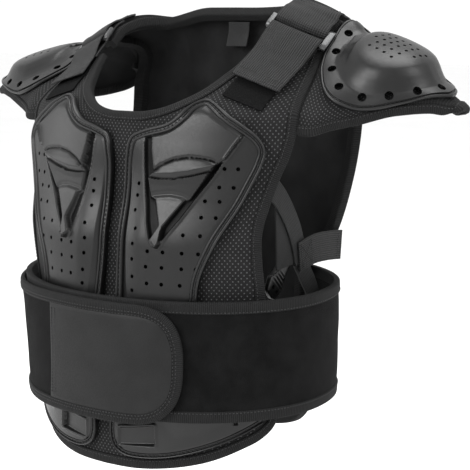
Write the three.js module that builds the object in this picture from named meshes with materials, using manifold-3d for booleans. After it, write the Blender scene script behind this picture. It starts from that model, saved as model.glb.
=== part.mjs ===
// Motorcycle armour vest for a young rider, as it sits on a body, in millimetres.
// +X is the viewer's right, -Y the front, +Z up. The origin is between the shoulder straps, on top of
// the shoulders. Mesh cloth over thin foam carries moulded plates, and a wide belt closes the waist.
import * as THREE from 'three';
import { mergeVertices } from 'three/addons/utils/BufferGeometryUtils.js';
import Module from 'manifold-3d';

const wasm = await Module();
wasm.setup();

// Driving dimensions of the body that the vest goes round
const bodyHeight = 440;
const frontReach = 198;
const backReach = 50;
const chestHalfWidth = 174;
const frontOvalDepth = 112;
const backOvalDepth = 90;
const breastboneHollow = 10;
const breastboneReach = 38;
const shoulderDrop = 30;
const shoulderDropStart = 60;
const shoulderHalfWidth = 155;

// How the left shoulder sits apart from the right one
const leftDrop = 17;
const leftTurn = 16;
const leftTuck = 34;
const leftWaistTuck = 14;

// Cloth parts
const frontThickness = 6;
const backThickness = 8;
const neckDepth = 93;
const neckHalfWidth = 98;
const armholeWaist = 139;
const hemHalfWidth = 146;
const hemDrop = bodyHeight * 0.9705;
const backHemDrop = bodyHeight * 1.009;
const backHalfWidth = 158;
const backWaistHalfWidth = 101;
const backHemHalfWidth = 113;
const collarDrop = 34;
const tapeWidth = 10;
const tapeProud = 1.5;

// Moulded plates on the chest and below the belt
const plateThickness = 3;
const plateTop = bodyHeight * 0.191;
const plateHalfWidth = 64;
const plateInnerEdge = 8.5;
const plateFoot = bodyHeight * 0.6477;
const chestRimWidth = 8;
const chestRimHeight = 6;
const ribHeight = 2.6;
const ventHole = 3.8;
const bellyTop = bodyHeight * 0.8545;
const bellyDrop = bodyHeight * 0.9318;
const bellyWidth = 137;
const bellyRimWidth = 6;
const bellyRimHeight = 5;
const footSize = 9;
const ventWidth = 34;
const ventHeight = 15;

// Shoulder wings and their cups
const wingReach = 133;
const wingThickness = 4;
const wingTapeWidth = 9;
const cupThickness = 2.2;
const cupHeight = 14;
const cupInnerReach = 53;
const cupOuterReach = 66;
const cupSpread = 0.9;
const cupCentre = 0.43;
const cupRimWidth = 4;
const cupRimHeight = 6;
const cupHole = 7;

// Straps over the shoulders
const strapWidth = 50;
const webThickness = 2.2;
const tongueLength = 56;
const loopTapeLength = 40;
const loopTapeThickness = 1.5;
const loopTapeStart = 40;
const loopTapeInset = 4;
const backStrapLength = 46;
const sliderLength = 61;
const sliderDepth = 19;
const sliderBar = 4;

// Belt
const beltThickness = 5;
const beltTop = bodyHeight * 0.5955;
const beltBottom = bodyHeight * 0.8523;
const beltTapeWidth = 11;
const beltTapeProud = 0.8;
const beltRoom = 10.5;
const flapThickness = 4.5;
const flapEnd = 31;
const flapStart = -128;
const flapDrop = 4;
const patchThickness = 1.2;

// Webbing at the sides
const sideWebWidth = 30;
const crossWebWidth = 22;
const sideWebThickness = 1.8;
const sideWebPlane = shoulderHalfWidth * 0.858;
const buckleLength = 46;
const buckleWidth = 24;
const buckleThickness = 8;

// Tab inside the collar
const neckTabWidth = 26;
const neckTabLength = 31;
const neckTabThickness = 1.5;
const neckTabSeat = 1.6;

// Clearances
const gap = 0.5;
const touch = 0.3;
const seat = 1.5;
const cupSeat = 2.5;
const loopTapeSeat = 1;

const clamp = (value, low, high) => Math.min(high, Math.max(low, value));
const mix = (a, b, share) => a + (b - a) * share;
const smooth = (low, high, value) => {
  const share = clamp((value - low) / (high - low), 0, 1);
  return share * share * (3 - 2 * share);
};

// A smooth curve without overshoot through the rows of a table, read by column
function smoothTable(rows, key) {
  const last = rows.length - 1;
  const slopeBetween = (i, column) =>
    (rows[i + 1][column] - rows[i][column]) / (rows[i + 1][key] - rows[i][key]);
  function slopeAt(i, column) {
    if (i === 0) return slopeBetween(0, column);
    if (i === last) return slopeBetween(last - 1, column);
    const before = slopeBetween(i - 1, column);
    const after = slopeBetween(i, column);
    return before * after <= 0 ? 0 : (2 * before * after) / (before + after);
  }
  return (value, column) => {
    let i = 0;
    while (i < last - 1 && value > rows[i + 1][key]) i += 1;
    const span = rows[i + 1][key] - rows[i][key];
    const t = clamp((value - rows[i][key]) / span, 0, 1);
    const rise = (1 + 2 * t) * (1 - t) ** 2;
    const fall = t * t * (3 - 2 * t);
    const lead = t * (1 - t) ** 2 * span * slopeAt(i, column);
    const trail = t * t * (t - 1) * span * slopeAt(i + 1, column);
    return rise * rows[i][column] + fall * rows[i + 1][column] + lead + trail;
  };
}

// The body's middle line from the front hem, over the shoulder ridge, to the back hem.
// down is a share of bodyHeight, out a share of frontReach or backReach, width a share of
// chestHalfWidth, round a share of the oval's depth, drop a share of shoulderDrop, and hollow, where
// there is one, a share of breastboneHollow.
const middleLine = [
  { down: 1.0, out: -0.98, width: 0.875, round: 1.0, drop: 0 },
  { down: 0.915, out: -0.98, width: 0.875, round: 1.0, drop: 0 },
  { down: 0.75, out: -0.96, width: 0.9, round: 1.0, drop: 0 },
  { down: 0.636, out: -0.944, width: 0.93, round: 1.0, drop: 0, hollow: 0.5 },
  { down: 0.489, out: -0.924, width: 0.96, round: 0.96, drop: 0, hollow: 1.0 },
  { down: 0.393, out: -0.864, width: 0.98, round: 0.91, drop: 0, hollow: 0.7 },
  { down: 0.339, out: -0.838, width: 0.99, round: 0.88, drop: 0, hollow: 0.4 },
  { down: 0.275, out: -0.816, width: 1.0, round: 0.86, drop: 0 },
  { down: 0.22, out: -0.793, width: 1.0, round: 0.85, drop: 0 },
  { down: 0.198, out: -0.753, width: 1.0, round: 0.85, drop: 0 },
  { down: 0.17, out: -0.682, width: 1.0, round: 0.85, drop: 0 },
  { down: 0.125, out: -0.556, width: 1.0, round: 0.82, drop: 0 },
  { down: 0.073, out: -0.434, width: 1.0, round: 0.78, drop: 0.05 },
  { down: 0.041, out: -0.348, width: 1.0, round: 0.72, drop: 0.15 },
  { down: 0.0, out: -0.227, width: 1.0, round: 0.5, drop: 0.4 },
  { down: -0.027, out: -0.025, width: 1.0, round: 0.1, drop: 1.0 },
  { down: -0.009, out: 0.5, width: 1.0, round: -0.3, drop: 0.85 },
  { down: 0.057, out: 0.9, width: 1.0, round: -0.5, drop: 0.4 },
  { down: 0.136, out: 1.0, width: 1.0, round: -0.55, drop: 0.1 },
  { down: 0.255, out: 1.0, width: 1.0, round: -0.5, drop: 0 },
  { down: 0.5, out: 0.96, width: 1.0, round: -0.65, drop: 0 },
  { down: 0.6, out: 0.82, width: 1.0, round: -1.25, drop: 0 },
  { down: 0.75, out: 0.8, width: 1.0, round: -1.3, drop: 0 },
  { down: 1.04, out: 0.7, width: 1.0, round: -1.2, drop: 0 },
];
const ridgeRow = middleLine.findIndex((row) => row.drop === 1.0);
const bodyRows = middleLine.map((row) => ({
  y: row.out * (row.out < 0 ? frontReach : backReach),
  z: -row.down * bodyHeight,
  width: row.width * chestHalfWidth,
  round: row.round * (row.round < 0 ? backOvalDepth : frontOvalDepth),
  drop: row.drop * shoulderDrop,
  hollow: (row.hollow ?? 0) * breastboneHollow,
}));
let travelled = 0;
bodyRows.forEach((row, i) => {
  const before = bodyRows[Math.max(i - 1, 0)];
  travelled += Math.hypot(row.y - before.y, row.z - before.z);
  row.run = travelled;
});
const ridgeRun = bodyRows[ridgeRow].run;
bodyRows.forEach((row) => {
  row.run -= ridgeRun;
});
const bodyAt = smoothTable(bodyRows, 'run');
const frontEndRun = bodyRows[0].run;
const backEndRun = bodyRows[bodyRows.length - 1].run;

// A point of the body's surface: x across, run along the middle line from the ridge (front below 0)
function bodyPoint(x, run) {
  const side = Math.abs(x);
  const oval = 1 - Math.sqrt(Math.max(0, 1 - (side / bodyAt(run, 'width')) ** 2));
  const middle = 1 - smooth(0, breastboneReach, side);
  const slope = Math.max(0, (side - shoulderDropStart) / (shoulderHalfWidth - shoulderDropStart)) ** 2;
  return new THREE.Vector3(
    x,
    bodyAt(run, 'y') + bodyAt(run, 'round') * oval + bodyAt(run, 'hollow') * middle,
    bodyAt(run, 'z') - bodyAt(run, 'drop') * slope,
  );
}

const probe = 0.5;
const alongRun = (x, run) => bodyPoint(x, run + probe).sub(bodyPoint(x, run - probe));
const alongX = (x, run) => bodyPoint(x + probe, run).sub(bodyPoint(x - probe, run));
const bodyNormal = (x, run) => alongX(x, run).cross(alongRun(x, run)).normalize();
const body = (x, run, lift) => bodyPoint(x, run).addScaledVector(bodyNormal(x, run), lift);

// The run at which the surface reaches height z at x, on the front or on the back
function runAtHeight(x, z, isFront) {
  let low = isFront ? frontEndRun : backEndRun;
  let high = 0;
  for (let step = 0; step < 40; step += 1) {
    const middle = (low + high) / 2;
    if (bodyPoint(x, middle).z < z) low = middle;
    else high = middle;
  }
  return (low + high) / 2;
}
const onFront = (x, z) => [x, runAtHeight(x, z, true)];
const onBack = (x, z) => [x, runAtHeight(x, z, false)];

// A path on a surface through points [a, b], read by its share of the length
function trace(points) {
  const vectors = points.map(([a, b]) => new THREE.Vector3(a, b, 0));
  const curve = new THREE.CatmullRomCurve3(vectors, false, 'centripetal');
  curve.arcLengthDivisions = 600;
  return (share) => {
    const point = curve.getPointAt(clamp(share, 0, 1));
    return [point.x, point.y];
  };
}

// The share of a path that lies nearest to a point
function shareNear(path, [a, b]) {
  let best = 0;
  let least = Infinity;
  for (let step = 0; step <= 400; step += 1) {
    const [pa, pb] = path(step / 400);
    const distance = Math.hypot(pa - a, pb - b);
    if (distance < least) {
      least = distance;
      best = step / 400;
    }
  }
  return best;
}

// The directions at a share of a path on the body: along it, out of the surface, and to its left
function bodyFrame(path, share) {
  const [x, run] = path(share);
  const ahead = path(Math.min(share + 0.004, 1));
  const behind = path(Math.max(share - 0.004, 0));
  const along = bodyPoint(...ahead).sub(bodyPoint(...behind)).normalize();
  const out = bodyNormal(x, run);
  const left = out.clone().cross(along).normalize();
  return { x, run, point: bodyPoint(x, run), along, out, left };
}

// The same path moved sideways over the surface, as [x, run]
const moved = (path, distance) => (share) => {
  const { x, run, left } = bodyFrame(path, share);
  const step = alongX(x, run).divideScalar(2 * probe);
  const climb = alongRun(x, run).divideScalar(2 * probe);
  const shift = left.clone().multiplyScalar(distance).addScaledVector(step, -left.x * distance);
  return [x + left.x * distance, run + shift.dot(climb) / climb.lengthSq()];
};

function closedGeometry(positions, faces) {
  const geometry = new THREE.BufferGeometry();
  geometry.setAttribute('position', new THREE.Float32BufferAttribute(positions, 3));
  let volume = 0;
  const corner = (k) => new THREE.Vector3().fromArray(positions, 3 * k);
  faces.forEach(([a, b, c]) => {
    volume += corner(a).dot(corner(b).cross(corner(c)));
  });
  const facing = volume < 0 ? faces.map(([a, b, c]) => [a, c, b]) : faces;
  geometry.setIndex(facing.flat());
  return geometry;
}

// A sheet between an inner face (side 0) and an outer face (side 1) on a grid of cells
function sheet(point, across, along, wraps = false) {
  const columns = wraps ? across : across + 1;
  const positions = [];
  for (const side of [0, 1]) {
    for (let j = 0; j <= along; j += 1) {
      for (let i = 0; i < columns; i += 1) {
        positions.push(...point(i / across, j / along, side).toArray());
      }
    }
  }
  const at = (i, j, side) => side * columns * (along + 1) + j * columns + (i % columns);
  const faces = [];
  const quad = (a, b, c, d) => faces.push([a, b, c], [a, c, d]);
  for (let j = 0; j < along; j += 1) {
    for (let i = 0; i < across; i += 1) {
      quad(at(i, j, 1), at(i + 1, j, 1), at(i + 1, j + 1, 1), at(i, j + 1, 1));
      quad(at(i, j, 0), at(i, j + 1, 0), at(i + 1, j + 1, 0), at(i + 1, j, 0));
    }
  }
  for (let i = 0; i < across; i += 1) {
    quad(at(i, 0, 0), at(i + 1, 0, 0), at(i + 1, 0, 1), at(i, 0, 1));
    quad(at(i, along, 1), at(i + 1, along, 1), at(i + 1, along, 0), at(i, along, 0));
  }
  for (let j = 0; j < along && !wraps; j += 1) {
    quad(at(0, j, 1), at(0, j + 1, 1), at(0, j + 1, 0), at(0, j, 0));
    quad(at(across, j, 0), at(across, j + 1, 0), at(across, j + 1, 1), at(across, j, 1));
  }
  return closedGeometry(positions, faces);
}

const even = (count, from = 0, to = 1) =>
  Array.from({ length: count + 1 }, (unused, k) => mix(from, to, k / count));

// A section carried through a list of stations: place(station, [a, b]) gives the point in space
function loft(place, places, section, loops = false) {
  const count = section.length;
  const stations = places.length - 1;
  const rings = loops ? stations : stations + 1;
  const positions = [];
  for (let k = 0; k < rings; k += 1) {
    for (const corner of section) positions.push(...place(places[k], corner).toArray());
  }
  const faces = [];
  for (let k = 0; k < stations; k += 1) {
    const here = k * count;
    const next = ((k + 1) % rings) * count;
    for (let s = 0; s < count; s += 1) {
      const t = (s + 1) % count;
      faces.push([here + s, here + t, next + t], [here + s, next + t, next + s]);
    }
  }
  if (!loops) {
    const outline = section.map(([a, b]) => new THREE.Vector2(a, b));
    const end = stations * count;
    const area = THREE.ShapeUtils.area(outline);
    for (const [a, b, c] of THREE.ShapeUtils.triangulateShape(outline, [])) {
      const cap = area > 0 ? [a, c, b] : [a, b, c];
      const back = area > 0 ? [a, b, c] : [a, c, b];
      faces.push(cap, back.map((k) => k + end));
    }
  }
  return closedGeometry(positions, faces);
}

const simplifyTolerance = 0.3;

function toSolid(geometry) {
  const bare = geometry.clone();
  bare.deleteAttribute('normal');
  bare.deleteAttribute('uv');
  const merged = mergeVertices(bare, 1e-4);
  return new wasm.Manifold(new wasm.Mesh({
    numProp: 3,
    vertProperties: new Float32Array(merged.attributes.position.array),
    triVerts: new Uint32Array(merged.index.array),
  }));
}

function toGeometry(solid) {
  const mesh = solid.simplify(simplifyTolerance).getMesh();
  const geometry = new THREE.BufferGeometry();
  geometry.setAttribute('position', new THREE.BufferAttribute(mesh.vertProperties, 3));
  geometry.setIndex(new THREE.BufferAttribute(mesh.triVerts, 1));
  return geometry;
}

function join(geometries) {
  return toGeometry(geometries.map(toSolid).reduce((whole, next) => whole.add(next)));
}

function cut(geometry, tools) {
  const start = toSolid(geometry);
  return toGeometry(tools.map(toSolid).reduce((whole, next) => whole.subtract(next), start));
}

function mirrored(geometry) {
  const other = geometry.clone();
  other.applyMatrix4(new THREE.Matrix4().makeScale(-1, 1, 1));
  const index = Array.from(other.index.array);
  for (let k = 0; k < index.length; k += 3) [index[k + 1], index[k + 2]] = [index[k + 2], index[k + 1]];
  other.setIndex(index);
  return other;
}
// A half is closed onto the middle plane before it is joined to its mirror image
const nearMiddle = 1.2;
function bothHalves(half) {
  const position = half.attributes.position;
  for (let k = 0; k < position.count; k += 1) {
    if (Math.abs(position.getX(k)) < nearMiddle) position.setX(k, 0);
  }
  return join([half, mirrored(half)]);
}

// A straight drill of a few sides through a point, along a direction
function drill(point, direction, diameter, depth, sides) {
  const geometry = new THREE.CylinderGeometry(diameter / 2, diameter / 2, depth, sides);
  const turn = new THREE.Quaternion().setFromUnitVectors(new THREE.Vector3(0, 1, 0), direction);
  geometry.applyQuaternion(turn);
  geometry.translate(point.x, point.y, point.z);
  return geometry;
}

const vest = new THREE.Group();
const finishes = {
  mesh: new THREE.MeshStandardMaterial({ color: 0x3a3b3d, roughness: 0.9 }),
  cloth: new THREE.MeshStandardMaterial({ color: 0x17181a, roughness: 0.95 }),
  tape: new THREE.MeshStandardMaterial({ color: 0x202123, roughness: 0.85 }),
  plastic: new THREE.MeshStandardMaterial({ color: 0x1a1b1d, roughness: 0.35 }),
  webbing: new THREE.MeshStandardMaterial({ color: 0x1c1d1f, roughness: 0.8 }),
  hook: new THREE.MeshStandardMaterial({ color: 0x0c0c0d, roughness: 1.0 }),
  plush: new THREE.MeshStandardMaterial({ color: 0x0e0f10, roughness: 1.0 }),
  vinyl: new THREE.MeshStandardMaterial({ color: 0x26282a, roughness: 0.55 }),
  bright: new THREE.MeshStandardMaterial({ color: 0x8f9193, roughness: 0.4 }),
};

// As it is worn, the left shoulder hangs lower and turns back, the back panel is tucked in there, and
// the left side is drawn in at the waist. Each fades between two shares of the body's own sizes.
const leftward = (from, to, x) => smooth(from * shoulderHalfWidth, to * shoulderHalfWidth, -x);
const backward = (from, to, y) => smooth(from * backReach, to * backReach, y);
const height = (from, to, z) => smooth(-from * bodyHeight, -to * bodyHeight, z);
function settle(geometry) {
  const position = geometry.attributes.position;
  for (let k = 0; k < position.count; k += 1) {
    const [x, y, z] = [position.getX(k), position.getY(k), position.getZ(k)];
    const drop = leftDrop * leftward(0.16, 0.74, x) * height(0.216, 0.011, z);
    const turn = leftTurn * leftward(0.515, 1, x) * height(0.25, 0.068, z);
    const tuck = leftTuck * leftward(0.13, 0.97, x) * backward(-0.8, 0.9, y) * height(0.432, 0.205, z);
    const waist = leftWaistTuck * leftward(0.19, 0.97, x) * height(0.41, 0.82, z);
    position.setXYZ(k, x + tuck + waist, y + turn, z - drop);
  }
  return geometry;
}

function add(name, geometry, finish) {
  const mesh = new THREE.Mesh(settle(geometry), finishes[finish]);
  mesh.name = name;
  vest.add(mesh);
}
function addPair(name, geometry, finish) {
  add(`${name}_right`, geometry, finish);
  add(`${name}_left`, mirrored(geometry), finish);
}

// Tape folded over an edge: its section, from the edge inward
function tapeSection(width, thickness) {
  const low = -thickness - tapeProud;
  return [[0, low], [0, tapeProud], [width, tapeProud], [width, low]];
}
// The tape along a path on the body, at a list of shares. inward is 1 where the cloth lies to the left.
function tapeAlong(path, shares, thickness, inward) {
  const place = (share, [a, b]) => body(...moved(path, inward * a)(share), b);
  return loft(place, shares, tapeSection(tapeWidth, thickness));
}

// Front panel: edges
const sliderX = shoulderHalfWidth * 0.806;
const sliderHeight = -25;
const sliderRun = runAtHeight(sliderX, sliderHeight, true);
const frontTopRun = sliderRun - 14;
const neckFrontEdge = trace([
  onFront(0, -neckDepth),
  onFront(neckHalfWidth * 0.2, -neckDepth * 0.995),
  onFront(neckHalfWidth * 0.39, -neckDepth * 0.953),
  onFront(neckHalfWidth * 0.56, -neckDepth * 0.87),
  onFront(neckHalfWidth * 0.69, -neckDepth * 0.774),
  onFront(neckHalfWidth * 0.79, -neckDepth * 0.645),
  onFront(neckHalfWidth * 0.88, -neckDepth * 0.5),
  [neckHalfWidth * 0.94, frontTopRun],
]);
const hemCorner = onFront(hemHalfWidth * 0.94, -hemDrop * 0.925);
const frontSideEdge = trace([
  onFront(0, -hemDrop),
  onFront(hemHalfWidth * 0.26, -hemDrop * 0.998),
  onFront(hemHalfWidth * 0.52, -hemDrop * 0.986),
  onFront(hemHalfWidth * 0.7, -hemDrop * 0.97),
  onFront(hemHalfWidth * 0.84, -hemDrop * 0.948),
  hemCorner,
  onFront(hemHalfWidth * 0.99, -hemDrop * 0.89),
  onFront(armholeWaist * 0.98, -hemDrop * 0.78),
  onFront(armholeWaist * 1.01, -beltTop),
  onFront(armholeWaist, -hemDrop * 0.53),
  onFront(armholeWaist, -hemDrop * 0.45),
  onFront(mix(armholeWaist, shoulderHalfWidth, 0.45), -hemDrop * 0.365),
  onFront(mix(armholeWaist, shoulderHalfWidth, 0.95), -hemDrop * 0.3),
  onFront(shoulderHalfWidth + 2, -hemDrop * 0.25),
  onFront(shoulderHalfWidth, -hemDrop * 0.175),
  [shoulderHalfWidth - 3, frontTopRun],
]);
const frontCornerShare = shareNear(frontSideEdge, hemCorner);
const frontRows = panelRows(10, 6, frontCornerShare, 0.7);
const frontColumns = 6;
const frontJoinRow = 3;

// Rows of a half panel: up its middle line, then along its neck edge. The outer edge keeps step.
function panelRows(low, neck, corner, neckLevel) {
  const level = mix(corner, 1, neckLevel);
  return { low, neck, corner, outer: [...even(low, corner, level), ...even(neck, level, 1).slice(1)] };
}

// Rows crowd toward the neck, where the cloth bends most
const crowding = 1.5;

// A half panel between its lower edge, its middle line and neck edge, and its outer edge
function halfPanel(rows, outer, neck, thickness, across) {
  const total = rows.low + rows.neck;
  const inner = (j) => (j <= rows.low
    ? [0, mix(neck(0)[1], outer(0)[1], (1 - j / rows.low) ** crowding)]
    : neck((j - rows.low) / rows.neck));
  const chord = (u, j) => {
    const a = inner(j);
    const b = outer(rows.outer[j]);
    return [mix(a[0], b[0], u), mix(a[1], b[1], u)];
  };
  const footReach = 0.5;
  return sheet((u, v, side) => {
    const j = Math.round(v * total);
    const straight = chord(u, j);
    const foot = outer(rows.corner * u);
    const footChord = chord(u, 0);
    const fade = Math.max(0, 1 - j / rows.low / footReach) ** 2;
    const x = straight[0] + (foot[0] - footChord[0]) * fade;
    const run = straight[1] + (foot[1] - footChord[1]) * fade;
    return body(u === 0 && j <= rows.low ? 0 : x, run, side ? 0 : -thickness);
  }, across, total);
}

const intoCloth = tapeWidth + 1.5 * gap;
const atMiddle = (path) => (share) => {
  const [x, run] = path(share);
  return [share <= 0 ? 0 : x, run];
};
const frontOuter = atMiddle(moved(frontSideEdge, intoCloth));
const frontNeck = atMiddle(moved(neckFrontEdge, -intoCloth));
const frontPanel = halfPanel(frontRows, frontOuter, frontNeck, frontThickness, frontColumns);
add('front_panel', bothHalves(frontPanel), 'mesh');

// The tape's stations are the panel's own corners. It is joined behind the belt, at one row.
const joinGap = 0.0015;
function edgeStations(rows, columns, joinRow) {
  const foot = even(columns, 0, rows.corner);
  return {
    hem: [...foot, ...rows.outer.slice(1, joinRow), rows.outer[joinRow] - joinGap],
    side: rows.outer.slice(joinRow),
  };
}
const frontStations = edgeStations(frontRows, frontColumns, frontJoinRow);
add('neck_binding_front', bothHalves(tapeAlong(neckFrontEdge, even(frontRows.neck), frontThickness, -1)), 'tape');
add('hem_binding_front', bothHalves(tapeAlong(frontSideEdge, frontStations.hem, frontThickness, 1)), 'tape');
addPair('armhole_binding', tapeAlong(frontSideEdge, frontStations.side, frontThickness, 1), 'tape');

// Back panel: edges
const backTopRun = sliderRun + 12;
const neckBackEdge = trace([
  [0, collarDrop],
  [neckHalfWidth * 0.4, collarDrop * 0.99],
  [neckHalfWidth * 0.7, collarDrop * 0.88],
  [neckHalfWidth * 0.9, collarDrop * 0.6],
  [neckHalfWidth * 0.985, collarDrop * 0.05],
  [neckHalfWidth, -collarDrop],
  [neckHalfWidth, backTopRun],
]);
const backCorner = onBack(backHemHalfWidth * 0.95, -backHemDrop * 0.92);
const backSideEdge = trace([
  onBack(0, -backHemDrop),
  onBack(backHemHalfWidth * 0.3, -backHemDrop * 0.998),
  onBack(backHemHalfWidth * 0.56, -backHemDrop * 0.988),
  onBack(backHemHalfWidth * 0.8, -backHemDrop * 0.965),
  backCorner,
  onBack(backHemHalfWidth, -backHemDrop * 0.875),
  onBack(backWaistHalfWidth * 0.97, -backHemDrop * 0.82),
  onBack(backWaistHalfWidth * 0.96, -backHemDrop * 0.7),
  onBack(backWaistHalfWidth, -beltTop),
  onBack(mix(backWaistHalfWidth, backHalfWidth, 0.45), -backHemDrop * 0.51),
  onBack(mix(backWaistHalfWidth, backHalfWidth, 0.8), -backHemDrop * 0.375),
  onBack(mix(backWaistHalfWidth, backHalfWidth, 0.97), -backHemDrop * 0.25),
  onBack(backHalfWidth, -backHemDrop * 0.18),
  [shoulderHalfWidth, collarDrop],
  [shoulderHalfWidth, 0],
  [shoulderHalfWidth - 1, -collarDrop],
  [shoulderHalfWidth - 3, backTopRun],
]);
const backCornerShare = shareNear(backSideEdge, backCorner);
const backRows = panelRows(8, 7, backCornerShare, 0.6);
const backColumns = 5;
const backJoinRow = 2;
const backOuter = atMiddle(moved(backSideEdge, -(intoCloth + 1.5 * gap)));
const backNeck = atMiddle(moved(neckBackEdge, intoCloth));
add('back_panel', bothHalves(halfPanel(backRows, backOuter, backNeck, backThickness, backColumns)), 'cloth');
const backStations = edgeStations(backRows, backColumns, backJoinRow);
add('neck_binding_back', bothHalves(tapeAlong(neckBackEdge, even(backRows.neck), backThickness, 1)), 'tape');
add('hem_binding_back', bothHalves(tapeAlong(backSideEdge, backStations.hem, backThickness, -1)), 'tape');
addPair('back_binding', tapeAlong(backSideEdge, backStations.side, backThickness, -1), 'tape');

// Chest plates: the outline runs up the inner edge, over the top and down the outer edge
const plateSpan = plateFoot - plateTop;
const plateX = (share) => plateInnerEdge + 2 * plateHalfWidth * share;
const plateZ = (share) => -plateTop - plateSpan * share;
const chestOutline = [
  { across: 0.01, down: 1.0 }, { across: 0.0, down: 0.7 }, { across: 0.0, down: 0.4 },
  { across: 0.0, down: 0.25 }, { across: 0.035, down: 0.16 }, { across: 0.14, down: 0.125 },
  { across: 0.33, down: 0.09 }, { across: 0.48, down: 0.045 }, { across: 0.56, down: 0.01 },
  { across: 0.64, down: 0.0 }, { across: 0.75, down: 0.03 }, { across: 0.88, down: 0.08 },
  { across: 0.965, down: 0.145 }, { across: 1.0, down: 0.21 }, { across: 0.985, down: 0.27 },
  { across: 0.93, down: 0.37 }, { across: 0.85, down: 0.5 }, { across: 0.73, down: 0.66 },
  { across: 0.66, down: 0.78 }, { across: 0.64, down: 0.86 }, { across: 0.645, down: 1.0 },
];
const plateMark = (row) => onFront(plateX(row.across), plateZ(row.down));
const chestEdge = trace(chestOutline.map(plateMark));
const innerTopCorner = shareNear(chestEdge, plateMark(chestOutline[4]));
const outerTopCorner = shareNear(chestEdge, plateMark(chestOutline[13]));

// A plate inside an outline: up its inner side, across its top, down its outer side
function plateSheet(edge, first, second, fadeFrom, low, high, across, along) {
  const inner = (v) => edge(first * v);
  const outer = (v) => edge(1 - (1 - second) * v);
  const chord = (u, v) => {
    const a = inner(v);
    const b = outer(v);
    return [mix(a[0], b[0], u), mix(a[1], b[1], u)];
  };
  return sheet((u, v, side) => {
    const straight = chord(u, v);
    const top = edge(mix(first, second, u));
    const topChord = chord(u, 1);
    const fade = Math.max(0, (v - fadeFrom) / (1 - fadeFrom)) ** 2;
    const x = straight[0] + (top[0] - topChord[0]) * fade;
    const run = straight[1] + (top[1] - topChord[1]) * fade;
    return body(x, run, side ? high : low);
  }, across, along);
}

// The rim's stations are the plate's own corners
const rimStations = (first, second, across, along) => [
  ...even(along, 0, first), ...even(across, first, second).slice(1), ...even(along, second, 1).slice(1),
];
const plateLow = seat + 1.9;
const plateHigh = plateLow + plateThickness;

// A raised rib: a row for each place along it, with its width and its height as a share
function rib(rows, height) {
  const centre = trace(rows.map((row) => onFront(row.x, row.z)));
  const size = smoothTable(rows.map((row, i) => ({ ...row, share: i / (rows.length - 1) })), 'share');
  const section = [[-1, 0], [-0.55, 1], [0.55, 1], [1, 0]];
  return loft((share, [a, b]) => {
    const frame = bodyFrame(centre, share);
    const wide = size(share, 'wide') / 2;
    const lift = plateHigh - 1 + b * (1 + height * size(share, 'tall'));
    return frame.point.addScaledVector(frame.left, a * wide).addScaledVector(frame.out, lift);
  }, even(4), section);
}
const ribTipX = plateX(0.34);
const ribTipZ = plateZ(0.65);
const innerRib = [
  { x: plateX(0.2), z: plateZ(0.19), wide: 9, tall: 0.4 },
  { x: plateX(0.2), z: plateZ(0.4), wide: 9, tall: 0.8 },
  { x: plateX(0.26), z: plateZ(0.57), wide: 9, tall: 1.0 },
  { x: ribTipX, z: ribTipZ, wide: 8, tall: 1.0 },
];
const outerRib = [
  { x: plateX(0.85), z: plateZ(0.15), wide: 3, tall: 0.3 },
  { x: plateX(0.68), z: plateZ(0.34), wide: 7, tall: 0.8 },
  { x: plateX(0.5), z: plateZ(0.52), wide: 10, tall: 1.0 },
  { x: ribTipX, z: ribTipZ, wide: 10, tall: 1.0 },
];
// The two raised fields between the ribs: an eye-shaped one above and a small pointed one below
const upperField = [
  { x: plateX(0.26), z: plateZ(0.315), wide: 3, tall: 0.5 },
  { x: plateX(0.42), z: plateZ(0.27), wide: 15, tall: 0.8 },
  { x: plateX(0.58), z: plateZ(0.25), wide: 13, tall: 0.8 },
  { x: plateX(0.7), z: plateZ(0.265), wide: 3, tall: 0.5 },
];
const lowerField = [
  { x: plateX(0.35), z: plateZ(0.435), wide: 20, tall: 0.6 },
  { x: plateX(0.35), z: plateZ(0.5), wide: 13, tall: 0.6 },
  { x: plateX(0.34), z: plateZ(0.56), wide: 5, tall: 0.6 },
];

// Vent holes by rows: down the plate, and where across it
const chestHoles = [
  { down: 0.29, across: [0.755, 0.84] },
  { down: 0.375, across: [0.145, 0.73, 0.82] },
  { down: 0.43, across: [0.145] },
  { down: 0.44, across: [0.645, 0.74] },
  { down: 0.5, across: [0.145] },
  { down: 0.515, across: [0.635, 0.73] },
  { down: 0.58, across: [0.175] },
  { down: 0.595, across: [0.53, 0.645] },
  { down: 0.645, across: [0.165] },
  { down: 0.672, across: [0.28, 0.395, 0.53, 0.64] },
  { down: 0.715, across: [0.165] },
  { down: 0.743, across: [0.27, 0.39, 0.53, 0.625] },
  { down: 0.795, across: [0.17] },
  { down: 0.82, across: [0.28, 0.39, 0.52] },
  { down: 0.86, across: [0.17] },
];
const drillDepth = 14;
const chestDrills = chestHoles.flatMap((row) => row.across.map((across) => {
  const [x, run] = onFront(plateX(across), plateZ(row.down));
  return drill(body(x, run, plateLow), bodyNormal(x, run), ventHole, drillDepth, 4);
}));
const chestInner = moved(chestEdge, -(chestRimWidth + gap));
const chestCells = [5, 7];
const chestPlateBase = plateSheet(
  chestInner, innerTopCorner, outerTopCorner, 0.4, plateLow, plateHigh, ...chestCells,
);
const chestRibs = [innerRib, outerRib, upperField, lowerField].map((rows) => rib(rows, ribHeight));
addPair('chest_plate', cut(join([chestPlateBase, ...chestRibs]), chestDrills), 'plastic');

// Rim: two ridges with a groove between them
const rimLow = seat + 0.9;
function rimSection(width, height) {
  const top = rimLow + height;
  return [[0, rimLow], [width * 0.2, top], [width * 0.5, top - 1.8], [width * 0.8, top], [width, rimLow]];
}
function rimAlong(edge, stations, width, height, inward) {
  const place = (share, [a, b]) => body(...moved(edge, inward * a)(share), b);
  return loft(place, stations, rimSection(width, height));
}
const chestRimStations = rimStations(innerTopCorner, outerTopCorner, ...chestCells);
addPair('chest_rim', rimAlong(chestEdge, chestRimStations, chestRimWidth, chestRimHeight, -1), 'plastic');

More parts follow.
